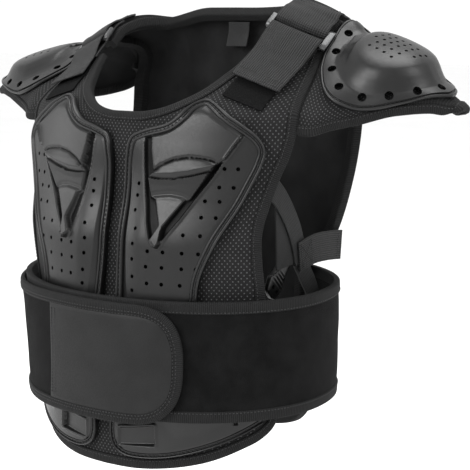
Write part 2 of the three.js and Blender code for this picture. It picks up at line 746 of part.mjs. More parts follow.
// Belly plates below the belt
const bellySpan = bellyDrop - bellyTop;
const bellyX = (share) => plateInnerEdge + bellyWidth * share;
const bellyZ = (share) => -bellyTop - bellySpan * share;
const bellyOutline = [
  { across: 0.0, down: 0.0 }, { across: 0.0, down: 0.52 }, { across: 0.03, down: 0.8 },
  { across: 0.11, down: 0.97 }, { across: 0.25, down: 1.0 }, { across: 0.42, down: 0.93 },
  { across: 0.6, down: 0.76 }, { across: 0.76, down: 0.53 }, { across: 0.86, down: 0.32 },
  { across: 0.93, down: 0.13 },
];
const bellyMark = (row) => onFront(bellyX(row.across), bellyZ(row.down));
const bellyEdge = trace(bellyOutline.map(bellyMark));
const innerFoot = shareNear(bellyEdge, bellyMark(bellyOutline[2]));
const outerFoot = shareNear(bellyEdge, bellyMark(bellyOutline[8]));
const bellyInner = moved(bellyEdge, bellyRimWidth + gap);
const bellyCells = [6, 3];
const bellyBase = plateSheet(bellyInner, innerFoot, outerFoot, 0.2, plateLow, plateHigh, ...bellyCells);
const [ventX, ventRun] = onFront(bellyX(0.192), bellyZ(0.72));
const ventTool = new THREE.BoxGeometry(ventWidth, drillDepth, ventHeight);
ventTool.rotateX(-0.12);
ventTool.rotateZ(0.12);
const ventPlace = body(ventX, ventRun, plateHigh);
ventTool.translate(ventPlace.x, ventPlace.y, ventPlace.z);
// A foot under the plate that rests on the cloth
const [footX, footRun] = onFront(bellyX(0.57), bellyZ(0.3));
const bellyFoot = sheet((u, v, side) => {
  return body(footX + footSize * u, footRun + footSize * v, side ? plateLow + 1 : touch);
}, 1, 1);
addPair('belly_plate', cut(join([bellyBase, bellyFoot]), [ventTool]), 'plastic');
const bellyRimStations = rimStations(innerFoot, outerFoot, ...bellyCells);
addPair('belly_rim', rimAlong(bellyEdge, bellyRimStations, bellyRimWidth, bellyRimHeight, 1), 'plastic');

// Shoulder wings. A row for each section outward: reach is a share of wingReach; the front edge, the
// crown and the back edge are shares of the shoulder's half width; full is the section's roundness.
const wingRows = [
  { reach: 0, frontY: -0.7, frontZ: -0.7, crownY: 0.0, crownZ: -0.142, backY: 0.32, backZ: -0.645, full: 1.35 },
  { reach: 0.2, frontY: -0.6, frontZ: -0.645, crownY: -0.03, crownZ: -0.19, backY: 0.3, backZ: -0.64, full: 1.55 },
  { reach: 0.38, frontY: -0.51, frontZ: -0.61, crownY: -0.06, crownZ: -0.245, backY: 0.26, backZ: -0.62, full: 1.75 },
  { reach: 0.65, frontY: -0.41, frontZ: -0.55, crownY: -0.09, crownZ: -0.355, backY: 0.17, backZ: -0.575, full: 1.9 },
  { reach: 0.86, frontY: -0.3, frontZ: -0.535, crownY: -0.1, crownZ: -0.46, backY: 0.05, backZ: -0.55, full: 2.0 },
  { reach: 1.0, frontY: -0.2, frontZ: -0.56, crownY: -0.11, crownZ: -0.53, backY: -0.03, backZ: -0.58, full: 2.0 },
];
const wingAt = smoothTable(wingRows, 'reach');
const wingFrontStart = shareNear(frontSideEdge, onFront(shoulderHalfWidth + 2, -hemDrop * 0.24));
const wingBackStart = shareNear(backSideEdge, onBack(backHalfWidth, -backHemDrop * 0.235));
const wingRidge = shareNear(backSideEdge, [shoulderHalfWidth, 0]);
const seamGap = 1.6;
const frontSeam = moved(frontSideEdge, -seamGap);
const backSeam = moved(backSideEdge, seamGap);

// The seam of the wing, from the front armhole (-1) over the ridge (0) to the back armhole (1)
function seamPoint(v) {
  const frontLength = bodyPoint(...frontSeam(wingFrontStart)).distanceTo(bodyPoint(...frontSeam(1)));
  const ridgeLength = bodyPoint(...backSeam(1)).distanceTo(bodyPoint(...backSeam(wingRidge)));
  const split = -ridgeLength / (frontLength + ridgeLength);
  if (v < split) return bodyPoint(...frontSeam(mix(wingFrontStart, 1, (v + 1) / (split + 1))));
  if (v < 0) return bodyPoint(...backSeam(mix(1, wingRidge, (v - split) / -split)));
  return bodyPoint(...backSeam(mix(wingRidge, wingBackStart, v)));
}

function wingPoint(u, v) {
  const half = shoulderHalfWidth;
  const turn = Math.abs(v) * Math.PI / 2;
  const power = 2 / wingAt(u, 'full');
  const edge = v < 0 ? 'front' : 'back';
  const y = mix(wingAt(u, 'crownY'), wingAt(u, `${edge}Y`), Math.sin(turn) ** power) * half;
  const z = mix(wingAt(u, `${edge}Z`), wingAt(u, 'crownZ'), Math.cos(turn) ** power) * half;
  const free = new THREE.Vector3(half + u * wingReach, y, z);
  const seam = seamPoint(v);
  const away = smooth(0, 0.3, u);
  return seam.add(new THREE.Vector3(u * wingReach, 0, 0)).lerp(free, away);
}
const wingProbe = 0.01;
function wingNormal(u, v) {
  const inU = clamp(u, wingProbe, 1 - wingProbe);
  const inV = clamp(v, -1 + wingProbe, 1 - wingProbe);
  const alongU = wingPoint(inU + wingProbe, inV).sub(wingPoint(inU - wingProbe, inV));
  const alongV = wingPoint(inU, inV + wingProbe).sub(wingPoint(inU, inV - wingProbe));
  return alongU.cross(alongV).normalize();
}
const wing = (u, v, lift) => wingPoint(u, v).addScaledVector(wingNormal(u, v), lift);
const wingCells = [7, 8];
const wingSheet = sheet((u, v, side) => wing(u, 2 * v - 1, side ? 0 : -wingThickness), ...wingCells);
addPair('shoulder_wing', wingSheet, 'mesh');

// The wing's free edge: out along the front, round the tip, and back
const frontPart = 0.42;
const tipPart = 0.58;
const wingEdgeStations = [
  ...even(wingCells[0], 0, frontPart), ...even(wingCells[1], frontPart, tipPart).slice(1),
  ...even(wingCells[0], tipPart, 1).slice(1),
];
function wingEdge(share) {
  if (share < frontPart) return [share / frontPart, -1];
  if (share < tipPart) return [1, mix(-1, 1, (share - frontPart) / (tipPart - frontPart))];
  return [1 - (share - tipPart) / (1 - tipPart), 1];
}
function wingEdgeFrame(share) {
  const [u, v] = wingEdge(share);
  const ahead = wingPoint(...wingEdge(Math.min(share + 0.02, 1)));
  const along = ahead.sub(wingPoint(...wingEdge(Math.max(share - 0.02, 0)))).normalize();
  const out = wingNormal(u, v);
  return { point: wingPoint(u, v), out, away: along.clone().cross(out).normalize() };
}
addPair('wing_binding', loft((share, [a, b]) => {
  const frame = wingEdgeFrame(share);
  const outward = gap + wingTapeWidth - a;
  return frame.point.addScaledVector(frame.away, outward).addScaledVector(frame.out, b);
}, wingEdgeStations, tapeSection(wingTapeWidth, wingThickness)), 'tape');

// Cups: round about a centre on the wing, with a raised crown, a slope and a flat flange
const cupProfile = smoothTable([
  { r: 0, rise: 1.0 }, { r: 0.25, rise: 0.97 }, { r: 0.42, rise: 0.84 }, { r: 0.56, rise: 0.58 },
  { r: 0.68, rise: 0.28 }, { r: 0.8, rise: 0.06 }, { r: 0.86, rise: 0 }, { r: 1, rise: 0 },
], 'r');
// The flange is nearer to a rounded square toward the neck than toward the arm
const innerCorner = 0.72;
const outerCorner = 0.92;
function cupPlace(turn, r) {
  const isInner = Math.cos(turn) < 0;
  const reach = isInner ? cupInnerReach : cupOuterReach;
  const power = isInner ? innerCorner : outerCorner;
  const out = Math.sign(Math.cos(turn)) * Math.abs(Math.cos(turn)) ** power;
  const round = Math.sign(Math.sin(turn)) * Math.abs(Math.sin(turn)) ** power;
  return [cupCentre + (reach / wingReach) * out * r, cupSpread * round * r];
}
const cupLow = cupSeat;
const cupPoint = (turn, r, lift) => wing(...cupPlace(turn, r), cupLow + cupHeight * cupProfile(r, 'rise') + lift);
const cupFlange = 0.93;
const cupTurns = 24;
const cupRings = 3;
const cupInnermost = 0.02;
const cupShell = sheet((u, v, side) => {
  const r = mix(cupInnermost, cupFlange, v ** 0.9);
  return cupPoint(u * 2 * Math.PI, r, side ? cupThickness : 0);
}, cupTurns, cupRings, true);
const cupCap = sheet((u, v, side) => {
  const r = cupInnermost * 1.6 * (2 * u - 1);
  const s = cupInnermost * 1.6 * (2 * v - 1);
  return wing(cupCentre + r, s * 0.8, cupLow + cupHeight + (side ? cupThickness : 0));
}, 1, 1);
const rimHoles = 16;
const cupDrills = Array.from({ length: rimHoles }, (unused, k) => {
  const turn = (k + 0.5) * 2 * Math.PI / rimHoles;
  const place = cupPlace(turn, 0.86);
  return drill(wing(...place, cupLow), wingNormal(...place), cupHole, drillDepth, 4);
});
addPair('shoulder_cup', cut(join([cupShell, cupCap]), cupDrills), 'plastic');

// Bead round the cup's flange
addPair('cup_rim', loft((share, [a, b]) => {
  const turn = share * 2 * Math.PI;
  const place = cupPlace(turn, cupFlange);
  const outside = wing(...cupPlace(turn, 1), 0);
  const out = wingNormal(...place);
  const away = outside.sub(wing(...place, 0)).normalize();
  return wing(...place, 0).addScaledVector(away, 1.6 * gap + a).addScaledVector(out, b);
}, even(cupTurns), [
  [0, cupSeat + 2 * gap], [0, cupRimHeight - 1], [cupRimWidth * 0.5, cupRimHeight], [cupRimWidth, cupSeat + 2 * gap],
], true), 'plastic');

const strapStart = 100;
// Straps. The centre line runs from the chest over the slider to the back, as [x, run].
const strapCentre = trace([
  onFront(sliderX * 0.848, -strapStart), onFront(sliderX * 0.904, -strapStart * 0.68), [sliderX, sliderRun],
  [sliderX * 1.016, sliderRun / 2], [sliderX * 1.016, 0], [sliderX * 1.016, collarDrop * 1.18],
]);
const strapLength = (() => {
  let length = 0;
  for (let k = 0; k < 100; k += 1) {
    length += bodyPoint(...strapCentre(k / 100)).distanceTo(bodyPoint(...strapCentre((k + 1) / 100)));
  }
  return length;
})();
const sliderShare = shareNear(strapCentre, [sliderX, sliderRun]);
function strapPlace(along, across, lift) {
  const [x, run] = moved(strapCentre, -across)(sliderShare + along / strapLength);
  return body(x, run, lift);
}
// A profile in (along, lift) carried across the strap
const acrossStrap = (profile, from, to, steps) =>
  loft((share, [along, lift]) => strapPlace(along, mix(from, to, share), lift), even(steps), profile);

const underWeb = tapeProud + 2.4;
const barGap = 0.9;
const barLow = underWeb + webThickness + barGap;
const barHigh = barLow + sliderBar;
const overWeb = barHigh + barGap;
const overWebTop = overWeb + webThickness;
const half = strapWidth / 2;
const barPlaces = [-5.5, 6.5];
const barHalf = sliderBar / 2;

// A web that comes up to a bar on top, goes round it and ends beneath. way is -1 for the front one.
function foldedWeb(way, bar, length, underLength, restLift) {
  const edge = bar - way * (barHalf + barGap);
  const outer = edge - way * webThickness;
  const descend = bar + way * 22;
  return [
    [bar + way * length, restLift], [bar + way * length, restLift + webThickness],
    [descend, restLift + webThickness], [bar + way * 4, overWebTop],
    [outer + way * 0.8, overWebTop], [outer, overWeb], [outer, barLow - barGap],
    [outer + way * 0.8, underWeb], [bar + way * underLength, underWeb],
    [bar + way * underLength, underWeb + webThickness],
    [edge, underWeb + webThickness], [edge, overWeb], [bar + way * 4, overWeb],
    [descend, restLift],
  ];
}
const underLength = 26;
const restLift = Math.max(seat + loopTapeThickness, underWeb + webThickness) + gap;
const tongue = foldedWeb(-1, barPlaces[0], tongueLength, underLength, restLift);
addPair('front_strap', acrossStrap(tongue, -half, half, 2), 'webbing');
const backLoop = foldedWeb(1, barPlaces[1], backStrapLength, underLength, restLift);
addPair('back_strap', acrossStrap(backLoop, -half, half, 2), 'webbing');

const barProfile = (place) => [
  [place - barHalf, barLow], [place - barHalf, barHigh], [place + barHalf, barHigh], [place + barHalf, barLow],
];
const endProfile = (() => {
  const middle = (barPlaces[0] + barPlaces[1]) / 2;
  const reach = sliderDepth / 2;
  return [
    [middle - reach, barLow - 0.4], [middle - reach, barHigh - 1], [middle - reach + 2, barHigh + 1],
    [middle + reach - 2, barHigh + 1], [middle + reach, barHigh - 1], [middle + reach, barLow - 0.4],
  ];
})();
const sliderHalf = sliderLength / 2;
const endInner = half + gap;
addPair('slider', join([
  ...barPlaces.map((place) => acrossStrap(barProfile(place), -sliderHalf + 1, sliderHalf - 1, 2)),
  acrossStrap(endProfile, endInner, sliderHalf, 1),
  acrossStrap(endProfile, -sliderHalf, -endInner, 1),
]), 'bright');

addPair('loop_tape', sheet((u, v, side) => {
  const across = mix(-half + loopTapeInset, half - loopTapeInset, u);
  return strapPlace(-loopTapeStart - loopTapeLength * v, across, loopTapeSeat + (side ? loopTapeThickness : 0));
}, 3, 4), 'hook');

// Belt: an oval ring. A row for each height; half widths to the left and right, depths to the front
// and the back, as shares of beltRoom beyond what the body's own oval needs.
const ovalMiddle = -frontReach * 0.944 + frontOvalDepth;
const beltRows = smoothTable([
  { down: 0, left: 0.57, right: 0.095, front: 0.19, back: 0.286 },
  { down: 0.7, left: 0.19, right: 0.095, front: 0.476, back: 0.095 },
  { down: 1, left: 0, right: 0, front: 0.762, back: 0 },
], 'down');
const beltHeight = beltBottom - beltTop;
const beltHalfWidth = chestHalfWidth * 0.937;
const backBeltDepth = backReach * 0.87 - ovalMiddle;
const squareness = 2.25;
function beltPoint(angle, down, lift) {
  const isRight = Math.sin(angle) > 0;
  const isFront = Math.cos(angle) > 0;
  const wide = beltHalfWidth + lift + beltRoom * beltRows(down, isRight ? 'right' : 'left');
  const front = frontOvalDepth + beltRoom + lift + beltRoom * beltRows(down, 'front');
  const back = backBeltDepth + lift + beltRoom * beltRows(down, 'back');
  const power = isFront ? 1 : 2 / squareness;
  const x = Math.sign(Math.sin(angle)) * Math.abs(Math.sin(angle)) ** power * wide;
  const y = ovalMiddle - Math.sign(Math.cos(angle)) * Math.abs(Math.cos(angle)) ** power * (isFront ? front : back);
  return new THREE.Vector3(x, y, -beltTop - down * beltHeight);
}
const tapeShare = (beltTapeWidth + gap) / beltHeight;
const beltTurns = 26;
add('belt', sheet((u, v, side) => {
  return beltPoint(u * 2 * Math.PI, mix(tapeShare, 1 - tapeShare, v), side ? beltThickness : 0);
}, beltTurns, 2, true), 'plush');
function beltTape(from, to) {
  return sheet((u, v, side) => {
    return beltPoint(u * 2 * Math.PI, mix(from, to, v), side ? beltThickness + beltTapeProud : -beltTapeProud);
  }, beltTurns, 1, true);
}
add('belt_binding_top', beltTape(0, beltTapeWidth / beltHeight), 'tape');
add('belt_binding_bottom', beltTape(1 - beltTapeWidth / beltHeight, 1), 'tape');

// Flap: the belt's outer end, from the left side to a round end on the front, in (angle, down)
const flapLift = beltThickness + beltTapeProud + seat + touch;
const perDegree = Math.PI / 180;
const flapRadius = 0.42;
const frontArc = (frontOvalDepth + beltRoom + flapLift + beltHalfWidth) / 2;
function flapOutline(share) {
  const top = [flapStart, 0.02];
  const bottom = [flapStart, 1.02];
  const roundAngle = (flapRadius * beltHeight) / frontArc / perDegree;
  const straight = 0.36;
  if (share < straight) {
    const along = share / straight;
    return [mix(top[0], flapEnd - roundAngle, along), mix(top[1], 0.03, along)];
  }
  if (share > 1 - straight) {
    const along = (1 - share) / straight;
    return [mix(bottom[0], flapEnd - roundAngle, along), mix(bottom[1], 1.03, along)];
  }
  const turn = mix(-Math.PI / 2, Math.PI / 2, (share - straight) / (1 - 2 * straight));
  const power = 0.75;
  const out = Math.abs(Math.cos(turn)) ** power;
  const up = Math.sign(Math.sin(turn)) * Math.abs(Math.sin(turn)) ** power;
  return [flapEnd - roundAngle + roundAngle * out, 0.53 + 0.5 * up];
}
// The flap droops a little toward the left side
const droopAt = (angle) => (flapDrop / beltHeight) * smooth(-10, -60, angle);
const onFlap = (angle, down, lift) => {
  return beltPoint(angle * perDegree, down, flapLift + lift).add(new THREE.Vector3(0, 0, -droopAt(angle) * beltHeight));
};
function flapFrame(share) {
  const [angle, down] = flapOutline(share);
  const ahead = onFlap(...flapOutline(Math.min(share + 0.005, 1)), 0);
  const along = ahead.sub(onFlap(...flapOutline(Math.max(share - 0.005, 0)), 0)).normalize();
  const step = onFlap(angle + 0.5, down, 0).sub(onFlap(angle - 0.5, down, 0));
  const out = step.clone().cross(new THREE.Vector3(0, 0, 1)).normalize();
  return { angle, down, step, point: onFlap(angle, down, 0), out, inward: along.clone().cross(out).normalize() };
}
function flapInside(share) {
  const { angle, down, step, inward } = flapFrame(share);
  const reach = beltTapeWidth + 2 * gap;
  const turn = (reach * inward.dot(step)) / step.lengthSq();
  return [angle + turn, down - (reach * inward.z) / beltHeight];
}
const flapColumns = 12;
const flapTip = 0.49;
add('belt_flap', sheet((u, v, side) => {
  const top = flapInside(u * flapTip);
  const bottom = flapInside(1 - u * flapTip);
  return onFlap(mix(top[0], bottom[0], v), mix(top[1], bottom[1], v), side ? flapThickness : 0);
}, flapColumns, 3), 'plush');
add('flap_binding', loft((share, [a, b]) => {
  const frame = flapFrame(share);
  return frame.point.addScaledVector(frame.inward, a).addScaledVector(frame.out, b);
}, [...even(flapColumns, 0, flapTip), ...even(flapColumns, 1 - flapTip, 1)], [
  [0, 0], [0, flapThickness - 1], [2, flapThickness + 0.6], [beltTapeWidth, flapThickness + 0.6], [beltTapeWidth, 0],
]), 'tape');
const patchStart = -19;
const patchEnd = 25;
add('flap_patch', sheet((u, v, side) => {
  const angle = mix(patchStart, patchEnd, u);
  const ends = smooth(patchEnd - 9, patchEnd, angle);
  const inset = mix(0.12, 0.3, ends);
  return onFlap(angle, mix(inset, 1.05 - inset, v), flapThickness + seat + (side ? patchThickness : 0));
}, 7, 2), 'vinyl');

// Webbing at the sides, as bands on upright planes between the front and the back. A path is in shares:
// ahead of frontReach, down of bodyHeight.
function band(path, width, layer, thickness = sideWebThickness) {
  const centre = trace(path.map(([ahead, down]) => [-ahead * frontReach, -down * bodyHeight]));
  const x = sideWebPlane - layer * (sideWebThickness + gap);
  return sheet((u, v, side) => {
    const [y, z] = centre(v);
    const ahead = centre(Math.min(v + 0.01, 1));
    const behind = centre(Math.max(v - 0.01, 0));
    const along = new THREE.Vector2(ahead[0] - behind[0], ahead[1] - behind[1]).normalize();
    const off = (u - 0.5) * width;
    return new THREE.Vector3(x + (side ? thickness / 2 : -thickness / 2), y - along.y * off, z + along.x * off);
  }, 1, 5);
}
const sidePath = [[-0.136, 0.5364], [0, 0.5295], [0.152, 0.5273], [0.293, 0.5364]];
const crossPath = [[0.5985, 0.3386], [0.424, 0.3795], [0.293, 0.4545], [0.242, 0.5455]];
const uprightPath = [[0.409, 0.4136], [0.399, 0.4773], [0.394, 0.5523]];
const lowerPath = [[0.2626, 0.5409], [0.192, 0.5818], [0.121, 0.6273], [0.081, 0.6818]];
addPair('side_strap', band(sidePath, sideWebWidth, 0), 'webbing');
addPair('cross_strap', band(crossPath, crossWebWidth, 1), 'webbing');
addPair('upright_strap', band(uprightPath, sideWebWidth, 2), 'webbing');
addPair('lower_strap', band(lowerPath, crossWebWidth, 2), 'webbing');

const buckle = new THREE.BoxGeometry(buckleThickness, buckleWidth, buckleLength);
const buckleLean = -0.78;
buckle.rotateX(buckleLean);
buckle.translate(
  sideWebPlane - 2.5 * sideWebThickness - 2 * gap - touch - buckleThickness / 2,
  -frontReach * 0.414,
  -bodyHeight * 0.5727,
);
addPair('side_buckle', buckle, 'plastic');

// Tab inside the collar
const tabTop = runAtHeight(0, -9, false);
add('neck_tab', sheet((u, v, side) => {
  const x = mix(-neckTabWidth / 2, neckTabWidth / 2, u) - 2 * v;
  return body(x, tabTop + neckTabLength * v, -backThickness - neckTabSeat - (side ? 0 : neckTabThickness));
}, 1, 3), 'vinyl');

export default vest;
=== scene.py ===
"""Looks of a motorcycle armour vest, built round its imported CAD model.

The vest's forms are worked out in millimetres on one body surface and laid down in metres. X is the
viewer's right, -Y the front, Z up, and the origin is between the shoulder straps.
"""

import math

import bmesh
import bpy
import numpy as np
from mathutils import Matrix, Vector


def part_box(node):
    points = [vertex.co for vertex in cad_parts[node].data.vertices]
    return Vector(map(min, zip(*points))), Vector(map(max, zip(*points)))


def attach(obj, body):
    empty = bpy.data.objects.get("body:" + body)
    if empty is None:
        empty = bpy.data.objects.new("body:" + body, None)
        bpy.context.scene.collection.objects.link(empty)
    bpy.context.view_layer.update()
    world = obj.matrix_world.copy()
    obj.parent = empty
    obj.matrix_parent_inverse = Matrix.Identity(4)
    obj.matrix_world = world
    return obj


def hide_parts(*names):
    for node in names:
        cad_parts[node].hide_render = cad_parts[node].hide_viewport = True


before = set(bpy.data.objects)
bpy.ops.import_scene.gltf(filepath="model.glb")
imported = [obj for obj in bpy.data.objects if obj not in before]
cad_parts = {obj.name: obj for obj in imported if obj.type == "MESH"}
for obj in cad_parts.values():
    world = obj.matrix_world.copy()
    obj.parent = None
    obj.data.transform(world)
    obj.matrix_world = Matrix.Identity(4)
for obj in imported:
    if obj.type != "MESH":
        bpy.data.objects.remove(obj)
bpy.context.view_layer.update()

MM = 0.001

# The body that the vest goes round
BODY_HEIGHT = 440
FRONT_REACH = 198
BACK_REACH = 50
CHEST_HALF_WIDTH = 174
FRONT_OVAL_DEPTH = 112
BACK_OVAL_DEPTH = 90
BREASTBONE_HOLLOW = 10
BREASTBONE_REACH = 38
SHOULDER_DROP = 30
SHOULDER_DROP_START = 60
SHOULDER_HALF_WIDTH = 155

# How the left shoulder sits apart from the right one
LEFT_DROP = 17
LEFT_TURN = 16
LEFT_TUCK = 41
LEFT_WAIST_TUCK = 14

# Cloth parts
FRONT_THICKNESS = 6
BACK_THICKNESS = 8
NECK_DEPTH = 93
NECK_HALF_WIDTH = 98
ARMHOLE_WAIST = 139
HEM_HALF_WIDTH = 146
HEM_DROP = BODY_HEIGHT * 0.977
BACK_HEM_DROP = BODY_HEIGHT * 1.009
BACK_HALF_WIDTH = 158
BACK_WAIST_HALF_WIDTH = 101
BACK_HEM_HALF_WIDTH = 113
COLLAR_DROP = 34
TAPE_WIDTH = 10
TAPE_PROUD = 1.5

# Moulded plates
PLATE_THICKNESS = 3
PLATE_TOP = BODY_HEIGHT * 0.191
PLATE_HALF_WIDTH = 64
PLATE_INNER_EDGE = 8.5
PLATE_FOOT = BODY_HEIGHT * 0.6477
CHEST_RIM_WIDTH = 8
CHEST_RIM_HEIGHT = 6
VENT_HOLE = 3.8
BELLY_TOP = BODY_HEIGHT * 0.8545
BELLY_DROP = BODY_HEIGHT * 0.9465
BELLY_WIDTH = 137
BELLY_RIM_WIDTH = 6
BELLY_RIM_HEIGHT = 5

# Wings and cups
WING_REACH = 123
WING_THICKNESS = 4
WING_TAPE_WIDTH = 9
CUP_THICKNESS = 2.2
CUP_HEIGHT = 14
CUP_RIM_WIDTH = 4
CUP_RIM_HEIGHT = 6
CUP_HOLE = 8.4
CUP_SEAT = 2.5

# Straps over the shoulders
STRAP_WIDTH = 50
WEB_THICKNESS = 2.2
TONGUE_LENGTH = 56
LOOP_TAPE_LENGTH = 40
LOOP_TAPE_THICKNESS = 1.5
LOOP_TAPE_START = 40
BACK_STRAP_LENGTH = 46
SLIDER_LENGTH = 61
SLIDER_DEPTH = 19
SLIDER_BAR = 4

# Belt
BELT_THICKNESS = 5
BELT_TOP = BODY_HEIGHT * 0.5955
BELT_BOTTOM = BODY_HEIGHT * 0.8523
BELT_TAPE_WIDTH = 11
BELT_TAPE_PROUD = 0.8
BELT_ROOM = 10.5
FLAP_THICKNESS = 4.5
FLAP_END = 31
FLAP_START = -128
FLAP_DROP = 4
PATCH_THICKNESS = 1.2

# Webbing at the sides
SIDE_WEB_WIDTH = 30
CROSS_WEB_WIDTH = 22
SIDE_WEB_THICKNESS = 1.8
SIDE_WEB_PLANE = SHOULDER_HALF_WIDTH * 0.858

# Tab inside the collar
NECK_TAB_WIDTH = 26
NECK_TAB_LENGTH = 31
NECK_TAB_THICKNESS = 1.5

# Room between pieces
GAP = 0.5
SEAT = 1.5
TOUCH = 0.3


def mix(a, b, share):
    return a + (b - a) * share


def smooth(low, high, value):
    share = np.clip((np.asarray(value, float) - low) / (high - low), 0, 1)
    return share * share * (3 - 2 * share)


def unit(vectors):
    return vectors / np.linalg.norm(vectors, axis=-1, keepdims=True)


def dot(a, b):
    return np.sum(a * b, axis=-1)


def matched(*parts):
    """Numbers and arrays brought to one shape."""
    return np.broadcast_arrays(*(np.asarray(part, float) for part in parts))


def far_along(line):
    """How far each point of a line lies from its start."""
    return np.concatenate([[0], np.cumsum(np.linalg.norm(np.diff(line, axis=0), axis=1))])


def at_length(lengths, far, line):
    """Points of a line at some lengths along it."""
    return np.stack([np.interp(lengths, far, line[:, k]) for k in range(line.shape[1])], -1)


def smooth_table(keys, values):
    """A smooth curve without overshoot through the rows of a table."""
    keys, values = np.asarray(keys, float), np.asarray(values, float)
    secant = np.diff(values, axis=0) / np.diff(keys)[:, None]
    slopes = np.zeros_like(values)
    slopes[0], slopes[-1] = secant[0], secant[-1]
    before, after = secant[:-1], secant[1:]
    same = before * after > 0
    slopes[1:-1] = np.where(same, 2 * before * after / np.where(same, before + after, 1), 0)

    def read(value):
        value = np.asarray(value, float)
        i = np.clip(np.searchsorted(keys, value, side="left") - 1, 0, len(keys) - 2)
        span = (keys[i + 1] - keys[i])[..., None]
        t = np.clip((value[..., None] - keys[i][..., None]) / span, 0, 1)
        held = (1 + 2 * t) * (1 - t) ** 2 * values[i] + t * t * (3 - 2 * t) * values[i + 1]
        bent = t * (1 - t) ** 2 * slopes[i] + t * t * (t - 1) * slopes[i + 1]
        return held + bent * span

    return read


# The body's middle line from the front hem over the ridge to the back hem, in shares:
# down, out, width, round, drop, hollow
MIDDLE_LINE = [
    (1.0, -0.98, 0.875, 1.0, 0, 0),
    (0.915, -0.98, 0.875, 1.0, 0, 0),
    (0.75, -0.96, 0.9, 1.0, 0, 0),
    (0.636, -0.944, 0.93, 1.0, 0, 0.5),
    (0.489, -0.924, 0.96, 0.96, 0, 1.0),
    (0.393, -0.864, 0.98, 0.91, 0, 0.7),
    (0.339, -0.838, 0.99, 0.88, 0, 0.4),
    (0.275, -0.816, 1.0, 0.86, 0, 0),
    (0.22, -0.793, 1.0, 0.85, 0, 0),
    (0.198, -0.753, 1.0, 0.85, 0, 0),
    (0.17, -0.682, 1.0, 0.85, 0, 0),
    (0.125, -0.556, 1.0, 0.82, 0, 0),
    (0.073, -0.434, 1.0, 0.78, 0.05, 0),
    (0.041, -0.348, 1.0, 0.72, 0.15, 0),
    (0.0, -0.227, 1.0, 0.5, 0.4, 0),
    (-0.027, -0.025, 1.0, 0.1, 1.0, 0),
    (-0.009, 0.5, 1.0, -0.3, 0.85, 0),
    (0.057, 0.9, 1.0, -0.5, 0.4, 0),
    (0.136, 1.0, 1.0, -0.55, 0.1, 0),
    (0.255, 1.0, 1.0, -0.5, 0, 0),
    (0.5, 0.96, 1.0, -0.65, 0, 0),
    (0.6, 0.82, 1.0, -1.25, 0, 0),
    (0.75, 0.8, 1.0, -1.3, 0, 0),
    (1.04, 0.7, 1.0, -1.2, 0, 0),
]
RIDGE_ROW = 15


def body_rows():
    rows = []
    for down, out, width, roundness, drop, hollow in MIDDLE_LINE:
        rows.append((
            out * (FRONT_REACH if out < 0 else BACK_REACH),
            -down * BODY_HEIGHT,
            width * CHEST_HALF_WIDTH,
            roundness * (BACK_OVAL_DEPTH if roundness < 0 else FRONT_OVAL_DEPTH),
            drop * SHOULDER_DROP,
            hollow * BREASTBONE_HOLLOW,
        ))
    rows = np.array(rows)
    steps = np.hypot(np.diff(rows[:, 0]), np.diff(rows[:, 1]))
    runs = np.concatenate([[0], np.cumsum(steps)])
    return runs - runs[RIDGE_ROW], rows


runs, rows = body_rows()
body_at = smooth_table(runs, rows)
FRONT_END_RUN, BACK_END_RUN = runs[0], runs[-1]


def body_point(x, run):
    """A point of the body: x across, run along the middle line from the ridge, front below 0."""
    x, run = matched(x, run)
    y, z, width, roundness, drop, hollow = np.moveaxis(body_at(run), -1, 0)
    side = np.abs(x)
    oval = 1 - np.sqrt(np.maximum(0, 1 - (side / width) ** 2))
    middle = 1 - smooth(0, BREASTBONE_REACH, side)
    slope = (side - SHOULDER_DROP_START) / (SHOULDER_HALF_WIDTH - SHOULDER_DROP_START)
    fall = drop * np.maximum(0, slope) ** 2
    return np.stack([x, y + roundness * oval + hollow * middle, z - fall], -1)


def on_body(spots):
    """The body's points at places given as x and run."""
    return body_point(spots[..., 0], spots[..., 1])


PROBE = 0.5
SHARE_PROBE = 0.004
SHARE_STEPS = 401
HALVINGS = 40


def along_run(x, run):
    return body_point(x, run + PROBE) - body_point(x, run - PROBE)


def along_x(x, run):
    return body_point(x + PROBE, run) - body_point(x - PROBE, run)


def body_normal(x, run):
    return unit(np.cross(along_x(x, run), along_run(x, run)))


def body(x, run, lift):
    lift = np.asarray(lift, float)
    return body_point(x, run) + body_normal(x, run) * lift[..., None]


def run_at_height(x, z, is_front):
    low = FRONT_END_RUN if is_front else BACK_END_RUN
    high = 0.0
    for _ in range(HALVINGS):
        middle = (low + high) / 2
        if body_point(x, middle)[2] < z:
            low = middle
        else:
            high = middle
    return (low + high) / 2


def on_front(x, z):
    return x, run_at_height(x, z, True)


def on_back(x, z):
    return x, run_at_height(x, z, False)


def marks_of(onto, width, depth, rows):
    """Marks on the front or the back, as shares of a width and of a drop."""
    return [onto(width * across, -depth * down) for across, down in rows]


